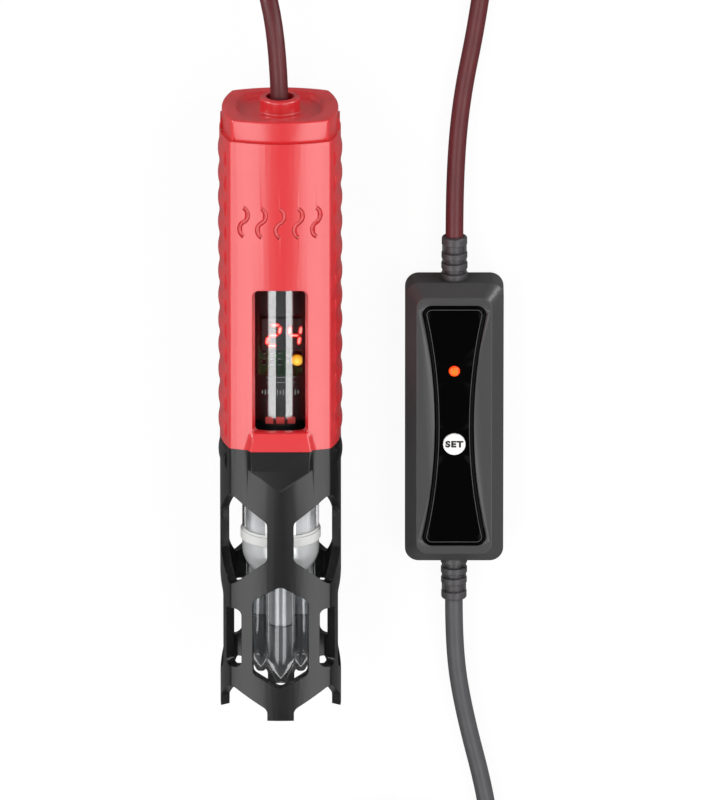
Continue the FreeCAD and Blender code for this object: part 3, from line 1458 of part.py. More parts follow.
def plug():
    """The plug lies on the table with its pins along -X."""
    place = ("plug_side", "plug_along", "plug_high")
    body = new_body("plug_block")
    root = sketch_on(body, "YZ_Plane")
    rectangle(root, "plug_root_wide / 2", "plug_root_tall / 2", "plug_round")
    face = sketch_on(body, "YZ_Plane", "-plug_body_long * 0.6")
    rectangle(face, "plug_face_wide / 2", "plug_face_tall / 2", "plug_round")
    flare = body.newObject("PartDesign::AdditiveLoft", "plug_flare")
    flare.Profile = root
    flare.Sections = [face]
    flare.Ruled = True
    document.recompute()
    front = sketch_on(body, "YZ_Plane", "-plug_body_long")
    rectangle(front, "plug_face_wide / 2", "plug_face_tall / 2", "plug_round")
    pad(body, front, "plug_body_long * 0.4")
    round_edges(body, "1.5", at_height(worth("-plug_body_long"), "x"))
    pins = []
    for x, y, lean in (("pin_side", "pin_up", "pin_splay"), ("-pin_side", "pin_up", "-pin_splay"),
                       ("0", "-pin_down", "0")):
        slot = document.addObject("Part::Box", "pin_blade")
        bind(slot, "Length", "pin_long + pin_buried")
        bind(slot, "Width", "pin_thick")
        bind(slot, "Height", "pin_wide")
        slot.Placement.Rotation = FreeCAD.Rotation(FreeCAD.Vector(1, 0, 0), worth(lean))
        bind(slot, "Placement.Base.x", "-plug_body_long - pin_long")
        bind(slot, "Placement.Base.y", f"{x} - pin_thick / 2 * cos({lean}) + pin_wide / 2 * sin({lean})")
        bind(slot, "Placement.Base.z", f"{y} - pin_wide / 2 * cos({lean}) - pin_thick / 2 * sin({lean})")
        pins.append(slot)
    holes = document.addObject("Part::Cut", "plug_body_bored")
    holes.Base = body
    together = document.addObject("Part::MultiFuse", "pin_room")
    together.Shapes = pins
    holes.Tool = together
    keep(holes, "plug_body", place)
    group("plug_pins", pins, place)
    boot = turned("plug_boot", [
        ("0", "0", "0"), ("plug_boot_root", "0", "0"), ("plug_boot_root", "3", "0.6"),
        ("plug_boot_tip", "plug_boot_long", "0.8"), ("0", "plug_boot_long", "0"),
    ])
    boot.Placement.Rotation = FreeCAD.Rotation(FreeCAD.Vector(0, 0, 1), -90)
    keep(boot, "plug_boot", place)


def build():
    sleeve()
    guard_cage()
    top_cap()
    centring_ring("centring_ring_upper", "rim_high - cap_spigot - upper_ring_drop - ring_tall", "sleeve_wall")
    centring_ring("centring_ring_lower", "guard_tall - lower_ring_drop", "bore_inset")
    glass_parts()
    lower_head()
    heating_tubes()
    display_parts()
    suction_cup("suction_cup_upper", "cup_high_at")
    suction_cup("suction_cup_lower", "cup_low_at")
    controller_back_shell()
    controller_front_shell()
    face_panel()
    button_parts()
    board_parts()
    case_screws()
    gland("gland_upper", 1)
    gland("gland_lower", -1)
    leads()
    plug()
    document.recompute()


def check_and_write():
    """Refuse a failed feature or a broken shape, then write one file per piece."""
    for thing in document.Objects:
        if "Invalid" in thing.State or "Error" in thing.State:
            raise RuntimeError(f"{thing.Label} failed: {thing.State}")
    for piece in pieces:
        if piece.Shape.isNull() or not piece.Shape.isValid() or not piece.Shape.Solids:
            raise RuntimeError(f"{piece.Label} has no sound shape")
    os.makedirs("parts", exist_ok=True)
    for piece in pieces:
        piece.Shape.exportStep(f"parts/{piece.Label}.step")
    print(f"{len(pieces)} pieces")


build()
check_and_write()
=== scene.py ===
"""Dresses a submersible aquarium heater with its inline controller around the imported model.

X runs across, Y along the heater towards its cap, and Z up from the table.
Sizes are in millimetres and turn to metres where a mesh is made.
"""
import logging
import math
from collections.abc import Sequence
from dataclasses import dataclass
from enum import Enum

import bmesh
import bpy
from mathutils import Matrix, Vector


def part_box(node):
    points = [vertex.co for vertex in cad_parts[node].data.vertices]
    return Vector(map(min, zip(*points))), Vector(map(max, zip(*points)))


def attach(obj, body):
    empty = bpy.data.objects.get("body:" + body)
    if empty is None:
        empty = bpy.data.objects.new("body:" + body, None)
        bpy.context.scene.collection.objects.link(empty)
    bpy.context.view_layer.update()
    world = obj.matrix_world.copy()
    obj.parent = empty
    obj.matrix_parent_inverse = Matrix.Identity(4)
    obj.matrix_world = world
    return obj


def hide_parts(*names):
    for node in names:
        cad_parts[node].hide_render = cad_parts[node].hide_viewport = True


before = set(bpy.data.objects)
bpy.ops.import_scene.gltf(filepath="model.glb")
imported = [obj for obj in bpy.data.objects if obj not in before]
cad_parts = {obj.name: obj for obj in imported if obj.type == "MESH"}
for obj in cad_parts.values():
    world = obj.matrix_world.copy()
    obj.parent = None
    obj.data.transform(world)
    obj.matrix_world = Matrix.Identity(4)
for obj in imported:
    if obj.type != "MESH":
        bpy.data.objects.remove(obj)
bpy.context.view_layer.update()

MM = 0.001
MM_PER_M = 1000
# The heater lies along Y: its axis is at this X and Z, and its foot at this Y, in millimetres.
SIDE, FOOT, AXIS = -32.5, -129.75, 37.4
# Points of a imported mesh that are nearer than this, in metres, are one.
WELD = 0.0005 * MM
log = logging.getLogger("heater")

Tree = bpy.types.NodeTree
Socket = bpy.types.NodeSocket
Shape = bmesh.types.BMesh
Pair = tuple[float, float]
Point = tuple[float, float, float]
Colour = tuple[float, float, float, float]


class Body(Enum):
    """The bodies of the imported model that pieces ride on."""

    HEATER = "heater"
    BUTTON = "button"
    UPPER_CUP = "upper_cup"
    LOWER_CUP = "lower_cup"


class Slot(Enum):
    """The record's material slots, which each lead names."""

    RED = "red_abs"
    BLACK = "black_abs"
    CASE = "case_abs"
    FILM = "panel_film"
    WHITE = "white_abs"
    GLASS = "clear_glass"
    QUARTZ = "quartz"
    CERAMIC = "ceramic"
    CORE = "core"
    RUBBER = "black_rubber"
    CLEAR_RUBBER = "clear_rubber"
    RED_FLEX = "flex_red"
    GREY_FLEX = "flex_grey"
    CIRCUIT = "circuit"
    PART_BLACK = "part_black"
    LIT = "led_lit"
    AMBER = "led_amber"
    ORANGE = "led_orange"
    CARD = "card"
    STEEL = "steel"
    PINS = "brass_pins"
    WIRE = "wire"


# Colour and node helpers

def linear(code: str) -> Colour:
    """Turns an sRGB colour, "#RRGGBB", to the linear one that a shader takes."""
    levels = [int(code[at:at + 2], 16) / 255 for at in (1, 3, 5)]
    red, green, blue = (v / 12.92 if v <= 0.04045 else ((v + 0.055) / 1.055) ** 2.4 for v in levels)
    return red, green, blue, 1.0


def grey(level: float) -> Colour:
    """Gives a linear grey of a level with an alpha of 1."""
    return level, level, level, 1.0


def add_node(tree: Tree, kind: str, sockets: dict[str | int, object],
             **settings: object) -> bpy.types.Node:
    """Adds a node with its settings, and links or sets its inputs.

    Args:
        tree: The node tree that it joins.
        kind: Blender's name for the kind of node.
        sockets: Inputs by name or number, each a plain value or the socket that feeds it.
        **settings: Properties of the node itself.

    Returns:
        The new node.
    """
    node = tree.nodes.new(kind)
    for name, value in settings.items():
        setattr(node, name, value)
    for name, value in sockets.items():
        if isinstance(value, Socket):
            tree.links.new(value, node.inputs[name])
        else:
            node.inputs[name].default_value = value
    return node


def place_of(tree: Tree) -> Socket:
    """Gives the point on the object, in the object's own frame."""
    return add_node(tree, "ShaderNodeTexCoord", {}).outputs["Object"]


def noise(tree: Tree, place: Socket, size: float, detail: float) -> Socket:
    """Lays noise between 0 and 1 whose clouds have a size in millimetres."""
    return add_node(tree, "ShaderNodeTexNoise", {
        "Vector": place, "Scale": MM_PER_M / size, "Detail": detail}).outputs["Fac"]


def drawn_lines(tree: Tree, place: Socket, scale: Point, detail: float) -> Socket:
    """Lays noise stretched to lines, by how often it changes in a metre each way."""
    stretched = add_node(tree, "ShaderNodeMapping", {"Vector": place, "Scale": scale}).outputs[0]
    return noise(tree, stretched, MM_PER_M, detail)


def mixed(tree: Tree, share: Socket, first: str | Socket, second: str) -> Socket:
    """Mixes a colour, "#RRGGBB" or a socket, with a share of a second one."""
    start = linear(first) if isinstance(first, str) else first
    return add_node(tree, "ShaderNodeMix", {0: share, 6: start, 7: linear(second)},
                    data_type="RGBA").outputs[2]


def ranged(tree: Tree, value: Socket, onto: Pair = (0.0, 1.0),
           given: Pair = (0.0, 1.0)) -> Socket:
    """Maps a value from a given range onto another, held at both ends."""
    return add_node(tree, "ShaderNodeMapRange", {
        "Value": value, "From Min": given[0], "From Max": given[1],
        "To Min": onto[0], "To Max": onto[1]}).outputs[0]


def bumped(tree: Tree, height: Socket, depth: float, edge: float = 0.0,
           samples: int = 4) -> Socket:
    """Raises a surface by a height, over softened edges where asked.

    Args:
        tree: The node tree that it joins.
        height: The height, between 0 and 1.
        depth: The height in millimetres that 1 stands for.
        edge: The radius in millimetres of the softened edges, or 0 for none.
        samples: How finely the edges are softened.

    Returns:
        The normal.
    """
    sockets = {"Height": height, "Distance": depth * MM}
    if edge:
        sockets["Normal"] = add_node(tree, "ShaderNodeBevel", {"Radius": edge * MM},
                                     samples=samples).outputs[0]
    return add_node(tree, "ShaderNodeBump", sockets).outputs[0]


def principled(tree: Tree, sockets: dict[str | int, object]) -> Socket:
    """Adds the main shader with its inputs and gives its output."""
    return add_node(tree, "ShaderNodeBsdfPrincipled", sockets).outputs[0]


# Finishes

@dataclass(frozen=True)
class Finish:
    """A surface finish, whose subclasses lay its nodes."""

    name: str

    def material(self) -> bpy.types.Material:
        """Makes the material the first time and gives it back after that.

        Returns:
            The material with this finish's nodes.
        """
        found = bpy.data.materials.get(self.name)
        if found is None:
            found = bpy.data.materials.new(self.name)
            found.use_nodes = True
            found.node_tree.nodes.clear()
            surface = self.surface(found.node_tree)
            add_node(found.node_tree, "ShaderNodeOutputMaterial", {"Surface": surface})
        return found

    def surface(self, tree: Tree) -> Socket:
        """Lays the nodes of this finish in a tree and gives the shader's output."""
        raise NotImplementedError


@dataclass(frozen=True)
class MouldedPlastic(Finish):
    """Injection-moulded plastic: cloudy tone, a fine grain from the mould, and soft edges."""

    colour: str
    deep: str
    roughness: float = 0.35
    specular: float = 0.5
    coat: float = 0.0
    grain: float = 0.4
    depth: float = 0.004
    edge: float = 0.3
    cloud: float = 24.0
    uneven: float = 0.15
    coat_polish: float = 0.6

    def surface(self, tree: Tree) -> Socket:
        """Lays a clouded base colour, a clouded gloss and a grained bump over soft edges.

        Args:
            tree: The material's node tree.

        Returns:
            The shader's output.
        """
        place = place_of(tree)
        clouds = noise(tree, place, self.cloud, 3.0)
        gloss = ranged(tree, clouds, (self.roughness * (1 - self.uneven),
                                      self.roughness * (1 + self.uneven)))
        grain = noise(tree, place, self.grain, 2.0)
        return principled(tree, {
            "Base Color": mixed(tree, clouds, self.colour, self.deep), "Roughness": gloss,
            "Normal": bumped(tree, grain, self.depth, self.edge, 6),
            "Specular IOR Level": self.specular, "Coat Weight": self.coat,
            "Coat Roughness": self.roughness * self.coat_polish})


@dataclass(frozen=True)
class ClearGlass(Finish):
    """Drawn borosilicate glass, which lamps light what lies behind it through."""

    tint: str = "#F6F6F7"
    roughness: float = 0.01
    index: float = 1.47
    coat: float = 1.0
    coat_index: float = 1.78
    coat_roughness: float = 0.02
    tip_tint: str = "#B4B5B7"
    tip: Pair = (-400.0, -399.0)
    # Draw lines are 1.4 mm apart across the tube and run on for tens of millimetres.
    lines: Point = (700.0, 12.0, 700.0)
    line_depth: float = 0.001

    def surface(self, tree: Tree) -> Socket:
        """Lays clear glass with faint draw lines along the tube, its colour darker at a closed tip.

        Args:
            tree: The material's node tree.

        Returns:
            The shader's output.
        """
        place = place_of(tree)
        lines = drawn_lines(tree, place, self.lines, 1.0)
        along = add_node(tree, "ShaderNodeSeparateXYZ", {0: place}).outputs["Y"]
        # The glass's colour turns darker below the tip's height.
        off_tip_share = ranged(tree, along, given=(self.tip[0] * MM, self.tip[1] * MM))
        glass = principled(tree, {
            "Base Color": mixed(tree, off_tip_share, self.tip_tint, self.tint),
            "Roughness": self.roughness, "IOR": self.index, "Transmission Weight": 1.0,
            "Coat Weight": self.coat, "Coat IOR": self.coat_index,
            "Coat Roughness": self.coat_roughness,
            "Normal": bumped(tree, lines, self.line_depth)})
        clear = add_node(tree, "ShaderNodeBsdfTransparent", {"Color": linear(self.tint)})
        path = add_node(tree, "ShaderNodeLightPath", {})
        return add_node(tree, "ShaderNodeMixShader", {
            0: path.outputs["Is Shadow Ray"], 1: glass, 2: clear.outputs[0]}).outputs[0]


@dataclass(frozen=True)
class Silicone(Finish):
    """Moulded clear silicone or PVC: milky, soft-edged, and it lets some light through."""

    colour: str
    clear: float = 0.6
    roughness: float = 0.3
    index: float = 1.42
    haze: float = 3.0
    depth: float = 0.02

    def surface(self, tree: Tree) -> Socket:
        """Lays a milky body with dust-fine specks."""
        haze = noise(tree, place_of(tree), self.haze, 4.0)
        return principled(tree, {
            "Base Color": linear(self.colour),
            "Roughness": ranged(tree, haze, (self.roughness * 0.8, self.roughness * 1.3)),
            "IOR": self.index, "Transmission Weight": self.clear,
            "Normal": bumped(tree, haze, self.depth)})


@dataclass(frozen=True)
class Ceramic(Finish):
    """Pressed and fired ceramic: speckled, glazed to a lustre or frosted where asked."""

    colour: str
    deep: str
    roughness: float = 0.5
    speck: float = 0.5
    grain: float = 0.03
    lustre: float = 0.0
    frost: Pair = (0.0, 0.0)
    frost_tint: str = "#D2D2D0"
    frost_roughness: float = 0.7

    def surface(self, tree: Tree) -> Socket:
        """Lays a speckled body with a powdery bump, and a frosted white band between two heights.

        Args:
            tree: The material's node tree.

        Returns:
            The shader's output.
        """
        place = place_of(tree)
        specks = noise(tree, place, self.speck, 4.0)
        along = add_node(tree, "ShaderNodeSeparateXYZ", {0: place}).outputs["Y"]
        middle, reach = sum(self.frost) / 2 * MM, (self.frost[1] - self.frost[0]) / 2 * MM
        band = add_node(tree, "ShaderNodeMath", {0: along, 1: middle, 2: reach},
                        operation="COMPARE").outputs[0]
        body = mixed(tree, specks, self.colour, self.deep)
        return principled(tree, {
            "Base Color": mixed(tree, band, body, self.frost_tint),
            "Roughness": ranged(tree, band, (self.roughness, self.frost_roughness)),
            "Metallic": ranged(tree, band, (self.lustre, 0.0)),
            "Normal": bumped(tree, specks, self.grain)})


@dataclass(frozen=True)
class Metal(Finish):
    """Plated or turned metal with fine scratches along X."""

    colour: str
    roughness: float = 0.3
    lines: Point = (80.0, 4000.0, 4000.0)
    depth: float = 0.004
    edge: float = 0.15

    def surface(self, tree: Tree) -> Socket:
        """Lays a bright metal whose gloss is broken up by scratches."""
        scratches = drawn_lines(tree, place_of(tree), self.lines, 2.0)
        return principled(tree, {
            "Base Color": linear(self.colour), "Metallic": 1.0,
            "Roughness": ranged(tree, scratches, (self.roughness * 0.7, self.roughness * 1.4)),
            "Normal": bumped(tree, scratches, self.depth, self.edge)})


@dataclass(frozen=True)
class SolderMask(Finish):
    """A printed board: green solder mask over raised tracks, with tinned pads."""

    colour: str = "#1D4A2C"
    track: str = "#2F6B41"
    pad: str = "#C9C9C4"
    pitch: float = 2.54
    shuffle: float = 0.55
    track_edge: Pair = (0.36, 0.42)
    pad_edge: Pair = (0.12, 0.09)
    depth: float = 0.03
    roughness: float = 0.3

    def surface(self, tree: Tree) -> Socket:
        """Lays tracks and pads on a grid of a tenth of an inch.

        Args:
            tree: The material's node tree.

        Returns:
            The shader's output.
        """
        cells = add_node(tree, "ShaderNodeTexVoronoi", {
            "Vector": place_of(tree), "Scale": MM_PER_M / self.pitch, "Randomness": self.shuffle},
            distance="CHEBYCHEV").outputs["Distance"]
        tracks = ranged(tree, cells, given=self.track_edge)
        pads = ranged(tree, cells, given=self.pad_edge)
        mask = mixed(tree, tracks, self.colour, self.track)
        return principled(tree, {
            "Base Color": mixed(tree, pads, mask, self.pad), "Roughness": self.roughness,
            "Metallic": pads, "Normal": bumped(tree, tracks, self.depth)})


@dataclass(frozen=True)
class LitLamp(Finish):
    """A lit lamp under a moulded lens: bright in its middle, deeper at its rim."""

    colour: str
    rim: str
    centre: Point
    reach: float
    strength: float = 1.0
    roughness: float = 0.25

    def surface(self, tree: Tree) -> Socket:
        """Lays a glow that fades from the lamp's middle.

        Args:
            tree: The material's node tree.

        Returns:
            The shader's output.
        """
        middle = tuple(v * MM for v in self.centre)
        apart = add_node(tree, "ShaderNodeVectorMath", {0: place_of(tree), 1: middle},
                         operation="DISTANCE").outputs["Value"]
        fade = ranged(tree, apart, given=(0.0, self.reach * MM))
        return principled(tree, {
            "Base Color": linear(self.rim), "Roughness": self.roughness,
            "Emission Color": mixed(tree, fade, self.colour, self.rim),
            "Emission Strength": self.strength})


@dataclass(frozen=True)
class Sheath(Finish):
    """Extruded PVC or moulded rubber: satin, with a talc bloom and a fine skin."""

    colour: str
    deep: str
    roughness: float = 0.48
    bloom: float = 9.0
    skin: float = 0.7
    depth: float = 0.015
    edge: float = 0.2

    def surface(self, tree: Tree) -> Socket:
        """Lays a satin sheath with a mottled bloom.

        Args:
            tree: The material's node tree.

        Returns:
            The shader's output.
        """
        place = place_of(tree)
        bloom = noise(tree, place, self.bloom, 5.0)
        return principled(tree, {
            "Base Color": mixed(tree, bloom, self.colour, self.deep),
            "Roughness": ranged(tree, bloom, (self.roughness - 0.08, self.roughness + 0.1)),
            "Normal": bumped(tree, noise(tree, place, self.skin, 2.0), self.depth, self.edge)})


# Red ABS, moulded in a polished tool: glossy, so the softboxes show as wide soft bands.
RED_ABS = MouldedPlastic("red_abs_moulded", "#CE2228", "#C82026", 0.33, 0.8, 0.6, 1.6, 0.003, 0.35)
# Black ABS of the guard: the same tool finish, a shade duller.
BLACK_ABS = MouldedPlastic("black_abs_moulded", "#0A0A0B", "#080809", 0.32, 0.42, 0.2, 1.6, 0.003)
# Charcoal ABS of the controller: satin.
CASE_ABS = MouldedPlastic("charcoal_abs_moulded", "#3B3B3C", "#373738", 0.38, 0.45, 0.15, 1.2)
WHITE_ABS = MouldedPlastic("white_abs_moulded", "#F2F2F0", "#EAEAE8", 0.3)
# Back-printed polyester film on the controller: deep black and smooth.
PANEL_FILM = MouldedPlastic("black_polyester_film", "#030303", "#020202", 0.25, 0.04,
                            grain=1.4, depth=0.001, edge=0.05)
PRINT_BLACK = MouldedPlastic("black_pad_print", "#080808", "#060606", 0.5, edge=0.02)
PART_BLACK = MouldedPlastic("black_epoxy_moulded", "#1C1C1D", "#131314", 0.45)
PART_BLUE = MouldedPlastic("blue_polyamide_moulded", "#2559A0", "#1E4E90", 0.42)
PART_YELLOW = MouldedPlastic("yellow_polyester_moulded", "#D9A520", "#CC9818", 0.4)
CARD = MouldedPlastic("black_card_printed", "#080809", "#050506", 0.55, grain=0.25, depth=0.01)
PRINT_GREY = MouldedPlastic("grey_screen_print", "#8F9092", "#838486", 0.5, edge=0.02)
# A grey line painted where the raised film's edge catches light: a painted highlight, not print.
HIGHLIGHT_LINE_GREY = MouldedPlastic("painted_edge_highlight_grey", "#38383A", "#333335", 0.5, edge=0.02)
PRINT_RED = MouldedPlastic("red_screen_print", "#C03A34", "#B0322D", 0.5, edge=0.02)
GLASS = ClearGlass("borosilicate_tube")
QUARTZ = ClearGlass("quartz_tube", "#E4E6E7", 0.03, 1.2, 0.5, tip=(-112.0, -107.5))
# The head: steatite under a silvery lustre glaze, left frosted where its collar meets the seal.
HEAD_CERAMIC = Ceramic("steatite_lustre_glazed", "#E4E5E6", "#DADBDC", 0.24, 2.0, 0.004,
                       lustre=0.4, frost=(-58.95, -55.05))
CORE_CERAMIC = Ceramic("magnesia_sleeve_fired", "#A2A2A3", "#929294", 0.3, 1.2, 0.01, 0.45)
# The sand's dark grey is painted shade for the dim lower part of each heating tube.
SAND_PAINTED_SHADE = Ceramic("quartz_sand_painted_shade", "#5C5C5E", "#4A4A4C", 0.45, 0.5, 0.01, 0.2)
BLACK_RUBBER = Sheath("nitrile_rubber_moulded", "#202021", "#18181A", 0.55)
CLEAR_RUBBER = Silicone("clear_pvc_moulded", "#E8EDF0")
SEAL_SILICONE = Silicone("white_silicone_moulded", "#F0F0EE", 0.25, 0.45)
RED_FLEX = Sheath("maroon_pvc_extruded", "#5C151B", "#4C1116", 0.45)
GREY_FLEX = Sheath("grey_pvc_extruded", "#4B4B4D", "#404042", 0.45)
RELIEF_GREY = Sheath("grey_pvc_moulded", "#434143", "#393739", 0.42)
WIRE = Sheath("silicone_wire_sleeve", "#D9D9D2", "#C6C6BE", 0.5)
CIRCUIT = SolderMask("green_solder_mask")
STEEL = Metal("steel_zinc_plated", "#B9BABD", 0.32)
NICKEL = Metal("brass_nickel_plated", "#C9C2AE", 0.24)


# Mesh helpers

def shown(name: str, data: bpy.types.ID) -> bpy.types.Object:
    """Puts a new object with its data in the scene."""
    made = bpy.data.objects.new(name, data)
    bpy.context.scene.collection.objects.link(made)
    return made


def add_piece(name: str, shape: Shape, finish: Finish, body: Body = Body.HEATER,
              nodes: Sequence[str] = (), smooth: float = 32.0) -> bpy.types.Object:
    """Turns a finished bmesh to a dressed piece that rides on a body.

    Args:
        name: The piece's name.
        shape: The mesh in metres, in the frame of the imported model. It is freed here.
        finish: The finish that covers it.
        body: The body that it moves with.
        nodes: The CAD nodes that it stands for.
        smooth: Edges that turn less than this many degrees are shaded smooth.

    Returns:
        The new object.
    """
    mesh = bpy.data.meshes.new(name)
    shape.to_mesh(mesh)
    shape.free()
    mesh.shade_smooth()
    mesh.set_sharp_from_angle(angle=math.radians(smooth))
    mesh.materials.append(finish.material())
    piece = shown(name, mesh)
    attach(piece, body.value)
    if nodes:
        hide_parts(*nodes)
    log.info("%s: %d faces", name, len(mesh.polygons))
    return piece


def dress_node(node: str, finish: Finish, body: Body = Body.HEATER,
               smooth: float = 32.0) -> bpy.types.Object:
    """Stands a merged, smoothly shaded copy in for a CAD node.

    Args:
        node: The CAD node's name.
        finish: The finish that covers the copy.
        body: The body that the node rides on.
        smooth: Edges that turn less than this many degrees are shaded smooth.

    Returns:
        The copy.
    """
    shape = bmesh.new()
    shape.from_mesh(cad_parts[node].data)
    bmesh.ops.remove_doubles(shape, verts=shape.verts, dist=WELD)
    piece = add_piece(f"dressed_{node}", shape, finish, body, [node], smooth)
    weights = piece.modifiers.new("flat_faces_stay_flat", "WEIGHTED_NORMAL")
    weights.keep_sharp = True
    return piece


def paint_node(node: str, finish: Finish) -> None:
    """Gives a CAD node that stays as packed its finish.

    Args:
        node: The CAD node's name.
        finish: The finish that covers it.
    """
    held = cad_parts[node]
    if not held.material_slots:
        held.data.materials.append(finish.material())
    for place in held.material_slots:
        place.material = finish.material()


def spun(profile: Sequence[Pair], steps: int) -> Shape:
    """Spins a profile a full turn round Z and closes it.

    Args:
        profile: (radius, height) corners in millimetres, from one end to the other.
        steps: The number of faces round.

    Returns:
        The closed shape in metres, its axis on Z.
    """
    shape = bmesh.new()
    ring = [shape.verts.new((radius * MM, 0.0, height * MM)) for radius, height in profile]
    for start, end in zip(ring, ring[1:]):
        shape.edges.new((start, end))
    bmesh.ops.spin(shape, geom=shape.verts[:] + shape.edges[:], cent=(0, 0, 0), axis=(0, 0, 1),
                   angle=math.tau, steps=steps, use_merge=True)
    bmesh.ops.remove_doubles(shape, verts=shape.verts, dist=0.001 * MM)
    bmesh.ops.recalc_face_normals(shape, faces=shape.faces)
    return shape


def block(size: Point, centre: Point, edge: float = 0.0) -> Shape:
    """Makes a block, with rounded edges where asked.

    Args:
        size: Its size along X, Y and Z in millimetres.
        centre: Its middle in millimetres.
        edge: The width of the rounded edges in millimetres, or 0.

    Returns:
        The block in metres.
    """
    shape = bmesh.new()
    bmesh.ops.create_cube(shape, size=1.0)
    bmesh.ops.scale(shape, vec=Vector(size) * MM, verts=shape.verts)
    if edge:
        bmesh.ops.bevel(shape, geom=shape.edges[:], offset=edge * MM, affect="EDGES", segments=3,
                        profile=0.5, material=-1)
    bmesh.ops.translate(shape, vec=Vector(centre) * MM, verts=shape.verts)
    return shape


def joined(shapes: Sequence[Shape]) -> Shape:
    """Puts several shapes in one mesh.

    Args:
        shapes: The shapes, which are freed.

    Returns:
        One shape that holds them all.
    """
    whole = bmesh.new()
    for shape in shapes:
        mesh = bpy.data.meshes.new("part_of_a_piece")
        shape.to_mesh(mesh)
        shape.free()
        whole.from_mesh(mesh)
        bpy.data.meshes.remove(mesh)
    return whole


# The studio

@dataclass
class Studio:
    """The table, the light and the camera of the picture."""

    target: Point = (0.14, 3.23, 50.0)
    tilt: float = 19.0
    distance: float = 8040.0
    lens: float = 900.0
    sensor: float = 36.0
    # The table: half its side in metres, its grey, the darker grey painted into its reflections in
    # glossy pieces, its glow to sight.
    table_half: float = 4.0
    table_grey: float = 0.9
    table_painted_reflection_grey: float = 0.16
    table_glow: float = 0.93
    softbox_size: Pair = (540.0, 2000.0)
    softbox_lean: float = 30.0
    softbox_away: float = 1000.0
    softbox_along: float = -180.0
    softbox_power: float = 10.0
    rim_place: Point = (1500.0, 940.0, 420.0)
    rim_size: Pair = (620.0, 420.0)
    rim_power: float = 11.0
    aim_high: float = 20.0
    # How high the walls end and the ceiling starts, and how bright each is.
    ceiling_from: Pair = (0.22, 0.6)
    ceiling_light: Pair = (0.4, 0.1)

    def build(self) -> None:
        """Builds the camera, the table, the softboxes and the surroundings."""
        self.camera()
        self.table()
        self.lamps()
        self.surroundings()
        bpy.context.scene.view_settings.view_transform = "Standard"

    def camera(self) -> None:
        """Sets the camera above the table, leaning to the cap by the picture's tilt."""
        data = bpy.data.cameras.new("picture_camera")
        data.lens, data.sensor_height, data.sensor_fit = self.lens, self.sensor, "VERTICAL"
        data.clip_start, data.clip_end = 0.1, 100.0
        camera = shown("picture_camera", data)
        lean = math.radians(self.tilt)
        away = Vector((0.0, math.sin(lean), math.cos(lean))) * self.distance
        camera.location = (Vector(self.target) + away) * MM
        camera.rotation_euler = (-lean, 0.0, 0.0)
        bpy.context.scene.camera = camera

    def table(self) -> None:
        """Lays a plain white table that shows white to sight and still takes a soft shadow."""
        shape = bmesh.new()
        bmesh.ops.create_grid(shape, x_segments=1, y_segments=1, size=self.table_half)
        mesh = bpy.data.meshes.new("table")
        shape.to_mesh(mesh)
        shape.free()
        table = shown("table", mesh)
        finish = bpy.data.materials.new("white_table")
        finish.use_nodes = True
        tree = finish.node_tree
        tree.nodes.clear()
        white = add_node(tree, "ShaderNodeEmission", {"Color": grey(1.0), "Strength": 1.0})
        path = add_node(tree, "ShaderNodeLightPath", {})
        # Painted shade: glossy pieces mirror the table in a darker grey than it shows to sight,
        # standing in for a sheet shaded by flags.
        colour = add_node(tree, "ShaderNodeMix", {
            0: path.outputs["Is Glossy Ray"], 6: grey(self.table_grey),
            7: grey(self.table_painted_reflection_grey)}, data_type="RGBA")
        paint = add_node(tree, "ShaderNodeBsdfDiffuse", {"Color": colour.outputs[2]})
        seen = add_node(tree, "ShaderNodeMath", {
            0: path.outputs["Is Camera Ray"], 1: path.outputs["Is Transmission Ray"]},
            operation="MAXIMUM")
        share = add_node(tree, "ShaderNodeMath", {0: seen.outputs[0], 1: self.table_glow},
                         operation="MULTIPLY")
        sheet = add_node(tree, "ShaderNodeMixShader",
                         {0: share.outputs[0], 1: paint.outputs[0], 2: white.outputs[0]})
        add_node(tree, "ShaderNodeOutputMaterial", {"Surface": sheet.outputs[0]})
        mesh.materials.append(finish)

    def lamps(self) -> None:
        """Hangs a long softbox on each side and a small rim lamp behind each shoulder."""
        lean = math.radians(self.softbox_lean)
        for side in (-1, 1):
            place = Vector((side * math.sin(lean) * self.softbox_away, self.softbox_along,
                            math.cos(lean) * self.softbox_away))
            self.lamp(f"softbox_{side}", place, Vector((0.0, self.softbox_along, self.aim_high)),
                      self.softbox_size, self.softbox_power)
            rim = Vector((side * self.rim_place[0], *self.rim_place[1:]))
            self.lamp(f"rim_lamp_{side}", rim, Vector((0.0, 0.0, self.aim_high)), self.rim_size,
                      self.rim_power)

    def lamp(self, name: str, place: Vector, aim: Vector, size: Pair, power: float) -> None:
        """Hangs one rectangular lamp.

        Args:
            name: The lamp's name.
            place: Its middle in millimetres.
            aim: The point in millimetres that it faces.
            size: Its width and length in millimetres.
            power: Its power in watts.
        """
        data = bpy.data.lights.new(name, "AREA")
        data.shape, data.energy = "RECTANGLE", power
        data.size, data.size_y = size[0] * MM, size[1] * MM
        lamp = shown(name, data)
        back = (place - aim).normalized()
        across = Vector((0.0, 1.0, 0.0)).cross(back).normalized()
        turn = Matrix((across, back.cross(across), back)).transposed().to_4x4()
        lamp.matrix_world = Matrix.Translation(place * MM) @ turn
        lamp.visible_camera = False

    def surroundings(self) -> None:
        """Surrounds the table with a white horizon under a dim ceiling."""
        world = bpy.data.worlds.new("studio_walls")
        bpy.context.scene.world = world
        world.use_nodes = True
        tree = world.node_tree
        tree.nodes.clear()
        way = add_node(tree, "ShaderNodeTexCoord", {}).outputs["Generated"]
        up = add_node(tree, "ShaderNodeSeparateXYZ", {0: way}).outputs["Z"]
        level = ranged(tree, up, self.ceiling_light, self.ceiling_from)
        back = add_node(tree, "ShaderNodeBackground", {"Color": grey(1.0), "Strength": level})
        add_node(tree, "ShaderNodeOutputWorld", {"Surface": back.outputs[0]})


# The heater

